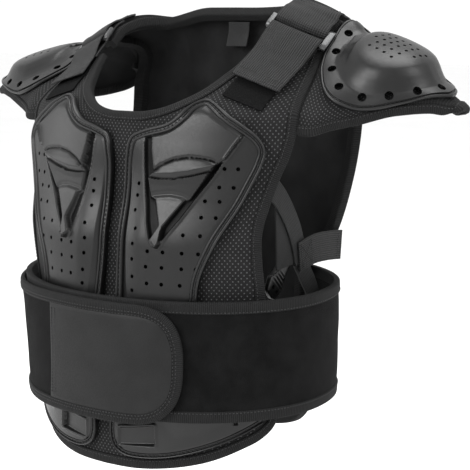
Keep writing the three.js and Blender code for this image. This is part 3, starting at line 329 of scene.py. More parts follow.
def trace(marks, steps=60):
    """A rounded path through marks, read by its share of the length."""
    marks = np.array(marks, float)
    ghosts = np.vstack([2 * marks[0] - marks[1], marks, 2 * marks[-1] - marks[-2]])
    t = np.linspace(0, 1, steps, endpoint=False)[:, None]
    parts = []
    for p0, p1, p2, p3 in zip(ghosts, ghosts[1:], ghosts[2:], ghosts[3:]):
        d0, d1, d2 = (max(np.linalg.norm(b - a) ** 0.5, 1e-4) for a, b in ((p0, p1), (p1, p2), (p2, p3)))
        lead = ((p1 - p0) / d0 - (p2 - p0) / (d0 + d1) + (p2 - p1) / d1) * d1
        trail = ((p2 - p1) / d1 - (p3 - p1) / (d1 + d2) + (p3 - p2) / d2) * d1
        square = -3 * p1 + 3 * p2 - 2 * lead - trail
        cube = 2 * p1 - 2 * p2 + lead + trail
        parts.append(p1 + lead * t + square * t * t + cube * t ** 3)
    line = np.vstack(parts + [marks[-1:]])
    far = far_along(line)
    far /= far[-1]

    def read(share):
        return at_length(np.clip(np.asarray(share, float), 0, 1), far, line)

    return read


def share_near(path, mark):
    shares = np.linspace(0, 1, SHARE_STEPS)
    return shares[np.argmin(np.linalg.norm(path(shares) - np.asarray(mark), axis=1))]


def body_frame(path, share):
    """At a share of a path on the body: x, run, the way along it and the way to its left."""
    place = path(share)
    x, run = place[..., 0], place[..., 1]
    ahead, behind = path(np.minimum(share + SHARE_PROBE, 1)), path(np.maximum(share - SHARE_PROBE, 0))
    along = unit(on_body(ahead) - on_body(behind))
    out = body_normal(x, run)
    return x, run, along, unit(np.cross(out, along))


def beside(path, share, distance):
    """The place at a distance to the left of a path, as x and run."""
    share = np.asarray(share, float)
    x, run, _, left = body_frame(path, share)
    step = along_x(x, run) / (2 * PROBE)
    climb = along_run(x, run) / (2 * PROBE)
    distance = np.broadcast_to(np.asarray(distance, float), x.shape)
    move = left * distance[..., None] - step * (left[..., 0] * distance)[..., None]
    return x + left[..., 0] * distance, run + dot(move, climb) / dot(climb, climb)


def moved(path, distance):
    def read(share):
        return np.stack(beside(path, share, distance), -1)
    return read


def settle(points):
    """As it is worn, the left shoulder hangs lower and turns back, and the left side is drawn in."""
    x, y, z = points.T
    left, back, height = -x / SHOULDER_HALF_WIDTH, y / BACK_REACH, z / BODY_HEIGHT
    drop = LEFT_DROP * smooth(0.16, 0.74, left) * smooth(-0.216, -0.011, height)
    turn = LEFT_TURN * smooth(0.515, 1, left) * smooth(-0.25, -0.068, height)
    tuck = LEFT_TUCK * smooth(0.13, 0.97, left) * smooth(-0.8, 0.9, back) * smooth(-0.432, -0.205, height)
    waist = LEFT_WAIST_TUCK * smooth(0.19, 0.97, left) * smooth(-0.41, -0.82, height)
    return np.stack([x + tuck + waist, y + turn, z - drop], -1)


def from_edge(points, a, b):
    """How far points of a plane lie from the straight edge between a and b."""
    edge = b - a
    share = np.clip(dot(points - a, edge) / dot(edge, edge), 0, 1)
    return np.linalg.norm(points - a - share[:, None] * edge, axis=1)


LEVEL = 1e-9


def inside_by(points, outline):
    """How far points of a plane lie inside an outline, below 0 outside it."""
    outline = np.asarray(outline, float)
    edges = list(zip(outline, np.roll(outline, -1, axis=0)))
    nearest = np.min([from_edge(points, a, b) for a, b in edges], axis=0)
    inside = np.zeros(len(points), bool)
    for a, b in edges:
        edge = b - a
        crosses = (a[1] > points[:, 1]) != (b[1] > points[:, 1])
        rise = edge[1] if abs(edge[1]) > LEVEL else LEVEL
        inside ^= crosses & (points[:, 0] < a[0] + edge[0] * (points[:, 1] - a[1]) / rise)
    return np.where(inside, nearest, -nearest)


def beside_line(points, line):
    """How far points of a plane lie from an open line."""
    line = np.asarray(line, float)
    return np.min([from_edge(points, a, b) for a, b in zip(line, line[1:])], axis=0)


# Finishes: each is a material made of nodes, on Object coordinates or the piece's own chart

# Pitches of the threads, ribs and dots, in metres
MESH_ACROSS, MESH_ALONG = 0.0042, 0.0056
TAPE_THREAD, TAPE_RIB = 0.0011, 0.0018
CLOTH_THREAD = 0.0016
WEBBING_RIB, WEBBING_THREAD = 0.0021, 0.0015
COOL = 1.02


def grey(value, cool):
    return value, value * (1 + cool) / 2, value * cool, 1


class Finish:
    """A material with one shader, and makers for its other nodes."""

    def __init__(self, name, roughness, **sockets):
        self.material = bpy.data.materials.new(name)
        self.material.use_nodes = True
        self.tree = self.material.node_tree
        self.shader = self.tree.nodes["Principled BSDF"]
        self.shader.inputs["Roughness"].default_value = roughness
        for socket, value in sockets.items():
            self.shader.inputs[socket.replace("_", " ")].default_value = value
        self.place = self.node("TexCoord").outputs["Object"]

    def node(self, kind, values=(), **settings):
        made = self.tree.nodes.new("ShaderNode" + kind)
        for key, value in settings.items():
            setattr(made, key, value)
        for key, value in dict(values).items():
            if isinstance(value, bpy.types.NodeSocket):
                self.tree.links.new(value, made.inputs[key])
            else:
                made.inputs[key].default_value = value
        return made

    def into(self, socket, source):
        self.tree.links.new(source, self.shader.inputs[socket])

    def chart(self):
        """Where a point lies across and along the piece's cloth, in metres."""
        parts = self.node("SeparateXYZ", {0: self.node("TexCoord").outputs["UV"]}).outputs
        return parts[0], parts[1]

    def maths(self, operation, first, second=0.0, third=0.0):
        return self.node("Math", {0: first, 1: second, 2: third}, operation=operation).outputs[0]

    def added(self, first, weight, second):
        return self.maths("MULTIPLY_ADD", first, weight, second)

    def waves(self, source, pitch):
        return self.maths("COSINE", self.added(source, 2 * math.pi / pitch, 0.0))

    def noise(self, scale, detail=2.0, roughness=0.5, place=None):
        where = self.place if place is None else place
        values = {"Vector": where, "Scale": scale, "Detail": detail, "Roughness": roughness}
        return self.node("TexNoise", values).outputs["Fac"]

    def mapped(self, source, low, high, to_low=0, to_high=1, **settings):
        values = {"Value": source, "From Min": low, "From Max": high, "To Min": to_low, "To Max": to_high}
        return self.node("MapRange", values, **settings).outputs["Result"]

    def blend(self, share, first, second):
        return self.node("Mix", {0: share, 6: first, 7: second}, data_type="RGBA").outputs[2]

    def tones(self, source, dark, pale, low=0.0, high=1.0, cool=COOL):
        """A grey between two as the source goes from low to high, and the share of the pale one."""
        share = self.mapped(source, low, high, interpolation_type="SMOOTHSTEP")
        return self.blend(share, grey(dark, cool), grey(pale, cool)), share

    def done(self, colour, height, depth, strength):
        """The material with its colour and its relief, whose depth is in metres."""
        self.into("Base Color", colour)
        relief = self.node("Bump", {"Height": height, "Distance": depth, "Strength": strength})
        self.into("Normal", relief.outputs["Normal"])
        return self.material


def mesh_finish():
    """Spacer mesh: a dark knit, with painted highlights as pale dots in staggered rows where the rims of its
    cells catch the light.
    """
    finish = Finish("spacer_mesh", roughness=0.85, Specular_IOR_Level=0.15)
    across, along = finish.chart()
    dots = finish.maths("MULTIPLY", finish.waves(across, MESH_ACROSS), finish.waves(along, MESH_ALONG))
    wear = finish.noise(60, 3)
    # Painted highlight: the pale dots stand for light caught on the rims of the mesh's cells.
    dot_highlights, share = finish.tones(dots, dark=0.006, pale=0.066, low=0.25, high=0.95)
    between, _ = finish.tones(wear, dark=0.006, pale=0.012)
    pale = finish.added(share, 0.9, finish.maths("MULTIPLY", wear, 0.2))
    colour = finish.blend(pale, between, dot_highlights)
    fuzz = finish.noise(2600)
    return finish.done(colour, finish.added(fuzz, 0.35, share), depth=0.0007, strength=0.9)


def tape_finish():
    """Ribbed elastic tape, its ribs across the edge."""
    finish = Finish("ribbed_tape", roughness=0.8, Specular_IOR_Level=0.15)
    across, along = finish.chart()
    weave = finish.added(finish.waves(across, TAPE_THREAD), 0.3, finish.waves(along, TAPE_RIB))
    worn = finish.added(finish.noise(90, 3), 1.6, weave)
    colour, _ = finish.tones(worn, dark=0.004, pale=0.014, low=-0.8, high=2.2)
    return finish.done(colour, finish.added(finish.noise(2200), 0.8, weave), depth=0.0003, strength=0.8)


def cloth_finish():
    """Dark lining cloth in a fine plain weave."""
    finish = Finish("lining_cloth", roughness=0.9, Specular_IOR_Level=0.12)
    across, along = finish.chart()
    weave = finish.maths("MULTIPLY", finish.waves(across, CLOTH_THREAD), finish.waves(along, CLOTH_THREAD))
    worn = finish.added(weave, 0.25, finish.noise(40, 4))
    colour, _ = finish.tones(worn, dark=0.008, pale=0.017, low=0.2, high=0.8)
    return finish.done(colour, finish.added(finish.noise(2400), 0.8, weave), depth=0.0003, strength=0.6)


def plastic_finish(name, shine):
    """Moulded plastic with a fine grain, a little scuffed."""
    finish = Finish(name, roughness=0.34, Specular_IOR_Level=shine)
    colour, _ = finish.tones(finish.noise(28, 4, 0.6), dark=0.002, pale=0.004, low=0.3, high=0.7)
    scuff = finish.noise(420, 5, 0.65)
    finish.into("Roughness", finish.mapped(scuff, 0.3, 0.75, 0.3, 0.42))
    return finish.done(colour, finish.added(scuff, 0.4, finish.noise(2600)), depth=0.00012, strength=0.5)


def webbing_finish():
    """Nylon webbing with ribs along it and a fine cross weave."""
    finish = Finish("nylon_webbing", roughness=0.65, Specular_IOR_Level=0.2)
    across, along = finish.chart()
    slant = finish.waves(finish.added(across, 0.6, along), WEBBING_THREAD)
    weave = finish.added(slant, 0.8, finish.waves(across, WEBBING_RIB))
    worn = finish.added(finish.noise(120, 3), 1.4, weave)
    colour, _ = finish.tones(worn, dark=0.003, pale=0.028, low=-0.8, high=2.0)
    return finish.done(colour, finish.added(finish.noise(2000), 0.5, weave), depth=0.00035, strength=0.8)


def hook_finish():
    """Hook and loop tape: a dense dark nap."""
    finish = Finish("loop_nap", roughness=1.0, Specular_IOR_Level=0.05)
    nap = finish.noise(1500, 4, 0.7)
    colour, _ = finish.tones(nap, dark=0.003, pale=0.011, low=0.35, high=0.7)
    return finish.done(colour, nap, depth=0.0009, strength=1.0)


def plush_finish():
    """Brushed plush over the belt's foam."""
    finish = Finish("brushed_plush", roughness=1.0, Specular_IOR_Level=0.05, Sheen_Weight=0.02)
    pile, lay = finish.noise(1700, 3, 0.65), finish.noise(45, 4, 0.6)
    colour, _ = finish.tones(finish.added(pile, 0.6, lay), dark=0.0035, pale=0.008, low=0.5, high=1.1)
    return finish.done(colour, finish.added(lay, 0.5, pile), depth=0.0009, strength=0.9)


def vinyl_finish(name, dark, pale):
    """Smooth coated cloth with a fine leather grain."""
    finish = Finish(name, roughness=0.5, Specular_IOR_Level=0.2)
    pores = finish.node("TexVoronoi", {"Vector": finish.place, "Scale": 700.0}).outputs["Distance"]
    cloud = finish.noise(35, 4)
    colour, _ = finish.tones(cloud, dark, pale, low=0.3, high=0.7)
    finish.into("Roughness", finish.mapped(pores, 0.0, 0.8, 0.46, 0.62))
    return finish.done(colour, finish.added(cloud, 0.8, pores), depth=0.0002, strength=0.5)


def bright_finish():
    """The slider's grey metal, brushed and a little worn."""
    finish = Finish("grey_metal", roughness=0.35, Metallic=0.6)
    stretch = finish.node("Mapping", {"Vector": finish.place, "Scale": (1.0, 8.0, 1.0)})
    brush = finish.noise(500, 3, place=stretch.outputs["Vector"])
    colour, _ = finish.tones(brush, dark=0.05, pale=0.09, low=0.3, high=0.7)
    return finish.done(colour, brush, depth=0.0001, strength=0.4)


def thread_finish():
    """Twisted sewing thread."""
    finish = Finish("sewing_thread", roughness=0.6, Specular_IOR_Level=0.3)
    twist = finish.noise(1800)
    colour, _ = finish.tones(twist, dark=0.006, pale=0.03, low=0.3, high=0.7)
    return finish.done(colour, twist, depth=0.0002, strength=0.6)


FINISHES = {
    "mesh": mesh_finish(),
    "tape": tape_finish(),
    "cloth": cloth_finish(),
    "plastic": plastic_finish("satin_plastic", 0.36),
    "webbing": webbing_finish(),
    "hook": hook_finish(),
    "plush": plush_finish(),
    "vinyl": vinyl_finish("coated_cloth", 0.0055, 0.0085),
    "satin": vinyl_finish("satin_cloth", 0.02, 0.03),
    "bright": bright_finish(),
}
THREAD = thread_finish()
# Partly painted shade: a less shiny copy of the plastic for the sunken V field. It gives the field its matte
# texture and also stands in for the shade that falls in that recess.
MATTE_SHADED_PLASTIC = plastic_finish("matte_plastic", 0.07)


# Making pieces
def only(piece):
    bpy.ops.object.select_all(action="DESELECT")
    piece.select_set(True)
    bpy.context.view_layer.objects.active = piece


def points_of(piece):
    flat = np.zeros(len(piece.data.vertices) * 3)
    piece.data.vertices.foreach_get("co", flat)
    return flat.reshape(-1, 3) / MM


def in_scene(name, data):
    made = bpy.data.objects.new(name, data)
    bpy.context.scene.collection.objects.link(made)
    return made


def put_points(piece, points):
    piece.data.vertices.foreach_set("co", (points * MM).ravel())
    piece.data.update()


def laid(name, columns, rows, place, chart):
    """A grid primitive laid where place(u, v) says, with a chart of its cloth in mm."""
    bpy.ops.object.select_all(action="DESELECT")
    bpy.ops.mesh.primitive_grid_add(x_subdivisions=columns, y_subdivisions=rows, size=2)
    piece = bpy.context.object
    piece.name = name
    flat = points_of(piece) * MM
    u, v = (flat[:, 0] + 1) / 2, (flat[:, 1] + 1) / 2
    u, v = np.round(u * columns) / columns, np.round(v * rows) / rows
    put_points(piece, place(u, v))
    if not callable(chart):
        width, length = chart
        a, b = u * width, v * length
    else:
        a, b = chart(u, v)
    corners = np.zeros(len(piece.data.loops), int)
    piece.data.loops.foreach_get("vertex_index", corners)
    sheet = np.stack([np.broadcast_to(a, u.shape)[corners], np.broadcast_to(b, u.shape)[corners]], -1)
    piece.data.uv_layers.active.data.foreach_set("uv", (sheet * MM).ravel())
    return piece


def shaped(piece, kind, **settings):
    """A modifier with these settings, applied."""
    only(piece)
    modifier = piece.modifiers.new(kind.lower(), kind)
    for key, value in settings.items():
        setattr(modifier, key, value)
    bpy.ops.object.modifier_apply(modifier=modifier.name)
    return piece


def walled(piece, thickness, offset=-1.0):
    return shaped(piece, "SOLIDIFY", thickness=thickness * MM, offset=offset)


WEB_CREASE = math.radians(60)


def eased(piece, width, angle=WEB_CREASE):
    """Edges sharper than the angle rounded by a width in mm."""
    return shaped(piece, "BEVEL", width=width * MM, segments=2, limit_method="ANGLE", angle_limit=angle)


def merged(piece, distance=0.01):
    only(piece)
    bpy.ops.object.mode_set(mode="EDIT")
    bpy.ops.mesh.select_all(action="SELECT")
    bpy.ops.mesh.remove_doubles(threshold=distance * MM)
    bpy.ops.object.mode_set(mode="OBJECT")
    return piece


def closed(piece):
    """Open ends are filled and the faces turned outwards."""
    only(piece)
    bpy.ops.object.mode_set(mode="EDIT")
    bpy.ops.mesh.select_mode(type="EDGE")
    bpy.ops.mesh.select_all(action="DESELECT")
    bpy.ops.mesh.select_non_manifold(
        extend=False, use_wire=False, use_multi_face=False, use_non_contiguous=False,
    )
    bpy.ops.mesh.fill_holes(sides=0)
    bpy.ops.mesh.select_all(action="SELECT")
    bpy.ops.mesh.normals_make_consistent(inside=False)
    bpy.ops.mesh.select_mode(type="VERT")
    bpy.ops.object.mode_set(mode="OBJECT")
    return piece


def rolled(name, shares, section, place):
    """A closed section carried along: place(share, a, b) gives a point for a corner of it."""
    count, rows = len(section), len(shares) - 1
    ring = np.vstack([section, section[:1]])
    girth = far_along(ring)
    middle = place(shares, np.full(rows + 1, ring[0, 0]), np.full(rows + 1, ring[0, 1]))
    length = far_along(middle)

    def spot(u, v):
        k = np.round(u * count).astype(int)
        return place(shares[np.round(v * rows).astype(int)], ring[k, 0], ring[k, 1])

    def chart(u, v):
        return girth[np.round(u * count).astype(int)], length[np.round(v * rows).astype(int)]

    return merged(laid(name, count, rows, spot, chart))


def rounded(corners, radius, steps=3):
    """A section's corners rounded. radius is one size or one for each corner."""
    corners = np.asarray(corners, float)
    radii = np.broadcast_to(radius, len(corners))
    out = []
    for before, corner, after, r in zip(np.roll(corners, 1, 0), corners, np.roll(corners, -1, 0), radii):
        start, end = (
            corner + unit(other - corner) * min(r, 0.49 * np.linalg.norm(other - corner))
            for other in (before, after)
        )
        for t in np.linspace(0, 1, steps + 1):
            out.append((1 - t) ** 2 * start + 2 * t * (1 - t) * corner + t * t * end)
    return np.array(out)


# A stitch: half its length as a share of the pitch, its sides, its rings as (share, girth), its ends' sink
STITCH_HALF = 0.34
STITCH_SIDES = 6
STITCH_RINGS = ((0.0, 0.35), (0.25, 1.0), (0.75, 1.0), (1.0, 0.35))
STITCH_SINK = 0.35


def sewn(piece, line, out, pitch=3.4, size=0.5, lift=0.15):
    """A row of stitches along a line of points in mm, joined to the piece."""
    far = far_along(line)
    middles = np.arange(pitch / 2, far[-1], pitch)
    starts = at_length(middles - STITCH_HALF * pitch, far, line)
    ends = at_length(middles + STITCH_HALF * pitch, far, line)
    up = unit(at_length(middles, far, out))
    side = unit(np.cross(up, unit(ends - starts)))
    turns = np.arange(STITCH_SIDES) * 2 * math.pi / STITCH_SIDES
    last = (len(STITCH_RINGS) - 1) * STITCH_SIDES
    points, faces = [], []
    for k in range(len(middles)):
        base = len(points)
        for share, girth in STITCH_RINGS:
            rise = lift if 0 < share < 1 else lift - STITCH_SINK
            centre = mix(starts[k], ends[k], share) + up[k] * rise
            for turn in turns:
                points.append(centre + size * girth * (math.cos(turn) * side[k] + math.sin(turn) * up[k]))
        for ring in range(base, base + last, STITCH_SIDES):
            for s in range(STITCH_SIDES):
                a, b = ring + s, ring + (s + 1) % STITCH_SIDES
                faces.append((a, b, b + STITCH_SIDES, a + STITCH_SIDES))
        faces.append(tuple(base + s for s in reversed(range(STITCH_SIDES))))
        faces.append(tuple(base + last + s for s in range(STITCH_SIDES)))
    mesh = bpy.data.meshes.new("stitches")
    mesh.from_pydata((np.array(points) * MM).tolist(), [], faces)
    mesh.materials.append(THREAD)
    row = in_scene("stitches", mesh)
    only(piece)
    row.select_set(True)
    bpy.ops.object.join()
    return piece


def stitched(piece, place, shares, inset, height, **row):
    """A row of stitches that follows place(share, a, b) at an inset, and stands up from a height."""
    across = np.full(len(shares), inset)
    line = place(shares, across, np.full(len(shares), height))
    out = place(shares, across, np.full(len(shares), height + 1)) - line
    return sewn(piece, line, out, **row)


def drilled(piece, places, ways, diameters, depth=14, sides=20, folded=False):
    """Straight holes through a closed piece, cut by one tool made of drills."""
    tool = bmesh.new()
    for place, way, diameter in zip(places, ways, np.broadcast_to(diameters, len(places))):
        turn = Vector(way).to_track_quat("Z", "Y").to_matrix().to_4x4()
        matrix = Matrix.Translation(Vector(place) * MM) @ turn
        radius = diameter / 2 * MM
        form = {"radius1": radius, "radius2": radius, "depth": depth * MM, "matrix": matrix}
        bmesh.ops.create_cone(tool, cap_ends=True, segments=sides, **form)
    mesh = bpy.data.meshes.new("drills")
    tool.to_mesh(mesh)
    tool.free()
    drills = in_scene("drills", mesh)
    shaped(piece, "BOOLEAN", object=drills, operation="DIFFERENCE", solver="EXACT", use_self=folded)
    bpy.data.objects.remove(drills)
    return piece


def dressed(piece, node, slot, crease=40, padding=None):
    """The piece in its finish, settled on the body, standing for its CAD node."""
    put_points(piece, settle(points_of(piece)))
    if len(piece.data.materials) == 0:
        piece.data.materials.append(FINISHES[slot])
    else:
        piece.data.materials[0] = FINISHES[slot]
    piece.name = node + "_piece"
    piece.data.name = piece.name
    only(piece)
    bpy.ops.object.shade_smooth_by_angle(angle=math.radians(crease))
    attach(piece, "root")
    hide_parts(node)
    return piece


def dressed_pair(piece, node, slot, **settings):
    """A right-hand piece and its mirror image on the left."""
    only(piece)
    bpy.ops.object.duplicate()
    other = bpy.context.object
    points = points_of(other)
    points[:, 0] *= -1
    put_points(other, points)
    other.data.flip_normals()
    dressed(other, node + "_left", slot, **settings)
    return dressed(piece, node + "_right", slot, **settings)


def ready(piece):
    """Room for two materials: the piece's own and its thread."""
    piece.data.materials.clear()
    piece.data.materials.append(None)
    piece.data.materials.append(THREAD)
    return piece


MIDDLE_REACH = 1.2
MIDDLE_MERGE = 0.2


def both_halves(piece):
    """A right half joined to its mirror image at the middle plane."""
    points = points_of(piece)
    points[np.abs(points[:, 0]) < MIDDLE_REACH, 0] = 0
    put_points(piece, points)
    merge = MIDDLE_MERGE * MM
    return shaped(piece, "MIRROR", use_axis=(True, False, False), merge_threshold=merge, use_clip=False)


def ripples(points, size, scale, seed=0.0):
    """Soft uneven waves for cloth, worked out from where the points are."""
    x, y, z = (points / scale).T
    first = np.sin(x * 1.3 + 2.1 * np.sin(z * 0.7 + seed)) * np.cos(z * 0.9 + seed)
    second = np.sin(z * 1.7 + 1.3 * np.sin(x * 0.9 + y + seed * 2))
    return size * (0.6 * first + 0.4 * second)


# Front panel
SLIDER_X = SHOULDER_HALF_WIDTH * 0.806
SLIDER_HEIGHT = -25
SLIDER_RUN = run_at_height(SLIDER_X, SLIDER_HEIGHT, True)
FRONT_TOP_RUN = SLIDER_RUN - 14
neck_front_edge = trace([
    *marks_of(on_front, NECK_HALF_WIDTH, NECK_DEPTH, [
        (0, 1), (0.2, 0.995), (0.39, 0.953), (0.56, 0.87), (0.69, 0.774), (0.79, 0.645), (0.88, 0.5),
    ]),
    (NECK_HALF_WIDTH * 0.94, FRONT_TOP_RUN),
])
hem_corner = on_front(HEM_HALF_WIDTH * 0.94, -HEM_DROP * 0.925)
front_side_edge = trace([
    *marks_of(on_front, HEM_HALF_WIDTH, HEM_DROP, [
        (0, 1), (0.26, 0.998), (0.52, 0.986), (0.7, 0.97), (0.84, 0.948),
    ]),
    hem_corner,
    on_front(HEM_HALF_WIDTH * 0.99, -HEM_DROP * 0.89),
    on_front(ARMHOLE_WAIST * 0.98, -HEM_DROP * 0.78),
    on_front(ARMHOLE_WAIST * 1.01, -BELT_TOP),
    on_front(ARMHOLE_WAIST, -HEM_DROP * 0.53),
    on_front(ARMHOLE_WAIST, -HEM_DROP * 0.45),
    on_front(mix(ARMHOLE_WAIST, SHOULDER_HALF_WIDTH, 0.45), -HEM_DROP * 0.365),
    on_front(mix(ARMHOLE_WAIST, SHOULDER_HALF_WIDTH, 0.95), -HEM_DROP * 0.3),
    on_front(SHOULDER_HALF_WIDTH + 2, -HEM_DROP * 0.25),
    on_front(SHOULDER_HALF_WIDTH, -HEM_DROP * 0.175),
    (SHOULDER_HALF_WIDTH - 3, FRONT_TOP_RUN),
])
front_corner = share_near(front_side_edge, hem_corner)
CROWDING = 1.5
FOOT_REACH = 0.5
UNDER_TAPE = TAPE_WIDTH - 1


def at_middle(path):
    def read(share):
        place = path(share)
        place[..., 0] = np.where(np.asarray(share) <= 0, 0, place[..., 0])
        return place
    return read


def half_panel(name, low, neck, corner, level, outer, neck_line, columns, rows, lift):
    """Half a panel between its lower edge, its middle line and neck edge, and its outer edge."""
    split = low / (low + neck)
    outer_level = mix(corner, 1, level)
    foot_run, top_run = outer(0.0)[1], neck_line(0.0)[1]

    def chord(u, v):
        below = v <= split
        share = np.clip(v / split, 0, 1)
        middle = np.stack([np.zeros_like(v), mix(top_run, foot_run, (1 - share) ** CROWDING)], -1)
        rise = np.clip((v - split) / (1 - split), 0, 1)
        inner = np.where(below[:, None], middle, neck_line(rise))
        far = outer(np.where(below, mix(corner, outer_level, share), mix(outer_level, 1, rise)))
        return mix(inner, far, u[:, None])

    def places(u, v):
        straight = chord(u, v)
        shift = outer(corner * u) - chord(u, np.zeros_like(u))
        fade = np.maximum(0, 1 - v / split / FOOT_REACH) ** 2
        spot = straight + shift * fade[:, None]
        x = np.where((u == 0) & (v <= split), 0, spot[:, 0])
        return x, spot[:, 1]

    def place(u, v):
        x, run = places(u, v)
        edge = smooth(0, 0.07, np.minimum(1 - u, np.minimum(v, 1 - v)))
        edge *= np.where(v > split, smooth(0, 0.12, u), 1)
        return body(x, run, lift(x, run) * edge - 0.4)

    panel = laid(name, columns, rows, place, places)
    return both_halves(panel)


def front_lift(x, run):
    return 0.5 + ripples(body_point(x, run), 0.35, 24)


front_outer = at_middle(moved(front_side_edge, UNDER_TAPE))
front_neck = at_middle(moved(neck_front_edge, -UNDER_TAPE))
FRONT_LEVEL = 0.7
front_panel = half_panel(
    "front", low=10, neck=6, corner=front_corner, level=FRONT_LEVEL, outer=front_outer,
    neck_line=front_neck, columns=44, rows=96, lift=front_lift,
)
walled(front_panel, FRONT_THICKNESS - 0.5)
dressed(front_panel, "front_panel", "mesh", padding=0.5)


def tape_section(width, thickness, proud=TAPE_PROUD):
    """Tape folded over an edge, its outer edge round and its face a little crowned."""
    low = -thickness - proud
    crown = (width * 0.5, proud + 0.25)
    corners = [(0, low), (0, proud - 0.2), crown, (width, proud - 0.1), (width, low)]
    return rounded(corners, [2.6, 2.6, 2, 0.7, 0.7], 4)


def on_edge(path, inward):
    def place(share, a, b):
        x, run = beside(path, share, inward * a)
        return body(x, run, b)
    return place


STITCH_INSET = 1.8


def edge_tape(name, path, first, last, count, thickness, inward, middle=False):
    """Tape along a path on the body with its row of stitches, mirrored where it meets the middle."""
    shares = np.linspace(first, last, count)
    place = on_edge(path, inward)
    tape = ready(rolled(name, shares, tape_section(TAPE_WIDTH, thickness), place))
    stitched(tape, place, shares, TAPE_WIDTH - STITCH_INSET, TAPE_PROUD)
    if middle:
        both_halves(tape)
    return closed(tape)


behind_belt = mix(front_corner, mix(front_corner, 1, FRONT_LEVEL), 0.3)
neck_front = edge_tape("neck_front", neck_front_edge, 0, 1, 90, FRONT_THICKNESS, -1, True)
dressed(neck_front, "neck_binding_front", "tape")
hem_front = edge_tape("hem_front", front_side_edge, 0, behind_belt - 0.001, 90, FRONT_THICKNESS, 1, True)
dressed(hem_front, "hem_binding_front", "tape")
armhole = edge_tape("armhole", front_side_edge, behind_belt, 1, 110, FRONT_THICKNESS, 1)
dressed_pair(armhole, "armhole_binding", "tape")

# Back panel
BACK_TOP_RUN = SLIDER_RUN + 12
neck_back_edge = trace([
    (0, COLLAR_DROP),
    (NECK_HALF_WIDTH * 0.4, COLLAR_DROP * 0.99),
    (NECK_HALF_WIDTH * 0.7, COLLAR_DROP * 0.88),
    (NECK_HALF_WIDTH * 0.9, COLLAR_DROP * 0.6),
    (NECK_HALF_WIDTH * 0.985, COLLAR_DROP * 0.05),
    (NECK_HALF_WIDTH, -COLLAR_DROP),
    (NECK_HALF_WIDTH, BACK_TOP_RUN),
])
back_corner_mark = on_back(BACK_HEM_HALF_WIDTH * 0.95, -BACK_HEM_DROP * 0.92)
back_side_edge = trace([
    *marks_of(on_back, BACK_HEM_HALF_WIDTH, BACK_HEM_DROP, [
        (0, 1), (0.3, 0.998), (0.56, 0.988), (0.8, 0.965),
    ]),
    back_corner_mark,
    on_back(BACK_HEM_HALF_WIDTH, -BACK_HEM_DROP * 0.875),
    on_back(BACK_WAIST_HALF_WIDTH * 0.97, -BACK_HEM_DROP * 0.82),
    on_back(BACK_WAIST_HALF_WIDTH * 0.96, -BACK_HEM_DROP * 0.7),
    on_back(BACK_WAIST_HALF_WIDTH, -BELT_TOP),
    on_back(mix(BACK_WAIST_HALF_WIDTH, BACK_HALF_WIDTH, 0.45), -BACK_HEM_DROP * 0.51),
    on_back(mix(BACK_WAIST_HALF_WIDTH, BACK_HALF_WIDTH, 0.8), -BACK_HEM_DROP * 0.375),
    on_back(mix(BACK_WAIST_HALF_WIDTH, BACK_HALF_WIDTH, 0.97), -BACK_HEM_DROP * 0.25),
    on_back(BACK_HALF_WIDTH, -BACK_HEM_DROP * 0.18),
    (SHOULDER_HALF_WIDTH, COLLAR_DROP),
    (SHOULDER_HALF_WIDTH, 0),
    (SHOULDER_HALF_WIDTH - 1, -COLLAR_DROP),
    (SHOULDER_HALF_WIDTH - 3, BACK_TOP_RUN),
])
back_corner = share_near(back_side_edge, back_corner_mark)
back_outer = at_middle(moved(back_side_edge, -UNDER_TAPE))
back_neck = at_middle(moved(neck_back_edge, UNDER_TAPE))
QUILT_PITCH = 42


def back_lift(x, run):
    """Sewn channels up the back, and soft folds between them."""
    channel = np.abs(np.sin(x / QUILT_PITCH * math.pi))
    below = smooth(20, 60, run)
    return 0.4 + 1.4 * (channel ** 0.4 - 1) * below + ripples(body_point(x, run), 0.5, 30, 1.0)


BACK_LEVEL = 0.6
back_panel = half_panel(
    "back", low=8, neck=7, corner=back_corner, level=BACK_LEVEL, outer=back_outer,
    neck_line=back_neck, columns=44, rows=104, lift=back_lift,
)
walled(back_panel, BACK_THICKNESS - 0.5)
dressed(back_panel, "back_panel", "cloth", padding=0.5)
neck_back = edge_tape("neck_back", neck_back_edge, 0, 1, 90, BACK_THICKNESS, 1, True)
dressed(neck_back, "neck_binding_back", "tape")
back_join = mix(back_corner, mix(back_corner, 1, BACK_LEVEL), 0.25)
hem_back = edge_tape("hem_back", back_side_edge, 0, back_join - 0.001, 80, BACK_THICKNESS, -1, True)
dressed(hem_back, "hem_binding_back", "tape")
back_tape = edge_tape("back_tape", back_side_edge, back_join, 1, 120, BACK_THICKNESS, -1)
dressed_pair(back_tape, "back_binding", "tape")

# Chest plates
PLATE_WIDTH = 2 * PLATE_HALF_WIDTH


def plate_marks(width, top, foot, rows):
    """Marks on the front, as shares of a plate's width and of the way from its top to its foot."""
    return [on_front(PLATE_INNER_EDGE + width * across, -top - (foot - top) * down) for across, down in rows]


CHEST_OUTLINE = [
    (0.01, 1.0), (0.0, 0.7), (0.0, 0.4), (0.0, 0.25), (0.035, 0.16), (0.14, 0.125), (0.33, 0.09),
    (0.43, 0.045), (0.5, 0.01), (0.57, 0.0), (0.69, 0.035), (0.85, 0.09), (0.96, 0.15), (1.0, 0.21),
    (0.985, 0.27), (0.93, 0.37), (0.85, 0.5), (0.73, 0.66), (0.66, 0.78), (0.64, 0.86), (0.645, 1.0),
]
chest_marks = plate_marks(PLATE_WIDTH, PLATE_TOP, PLATE_FOOT, CHEST_OUTLINE)
chest_edge = trace(chest_marks)
inner_top = share_near(chest_edge, chest_marks[4])
outer_top = share_near(chest_edge, chest_marks[13])
PLATE_LOW = SEAT + 1.9
PLATE_HIGH = PLATE_LOW + PLATE_THICKNESS
RIM_LOW = SEAT + 0.9


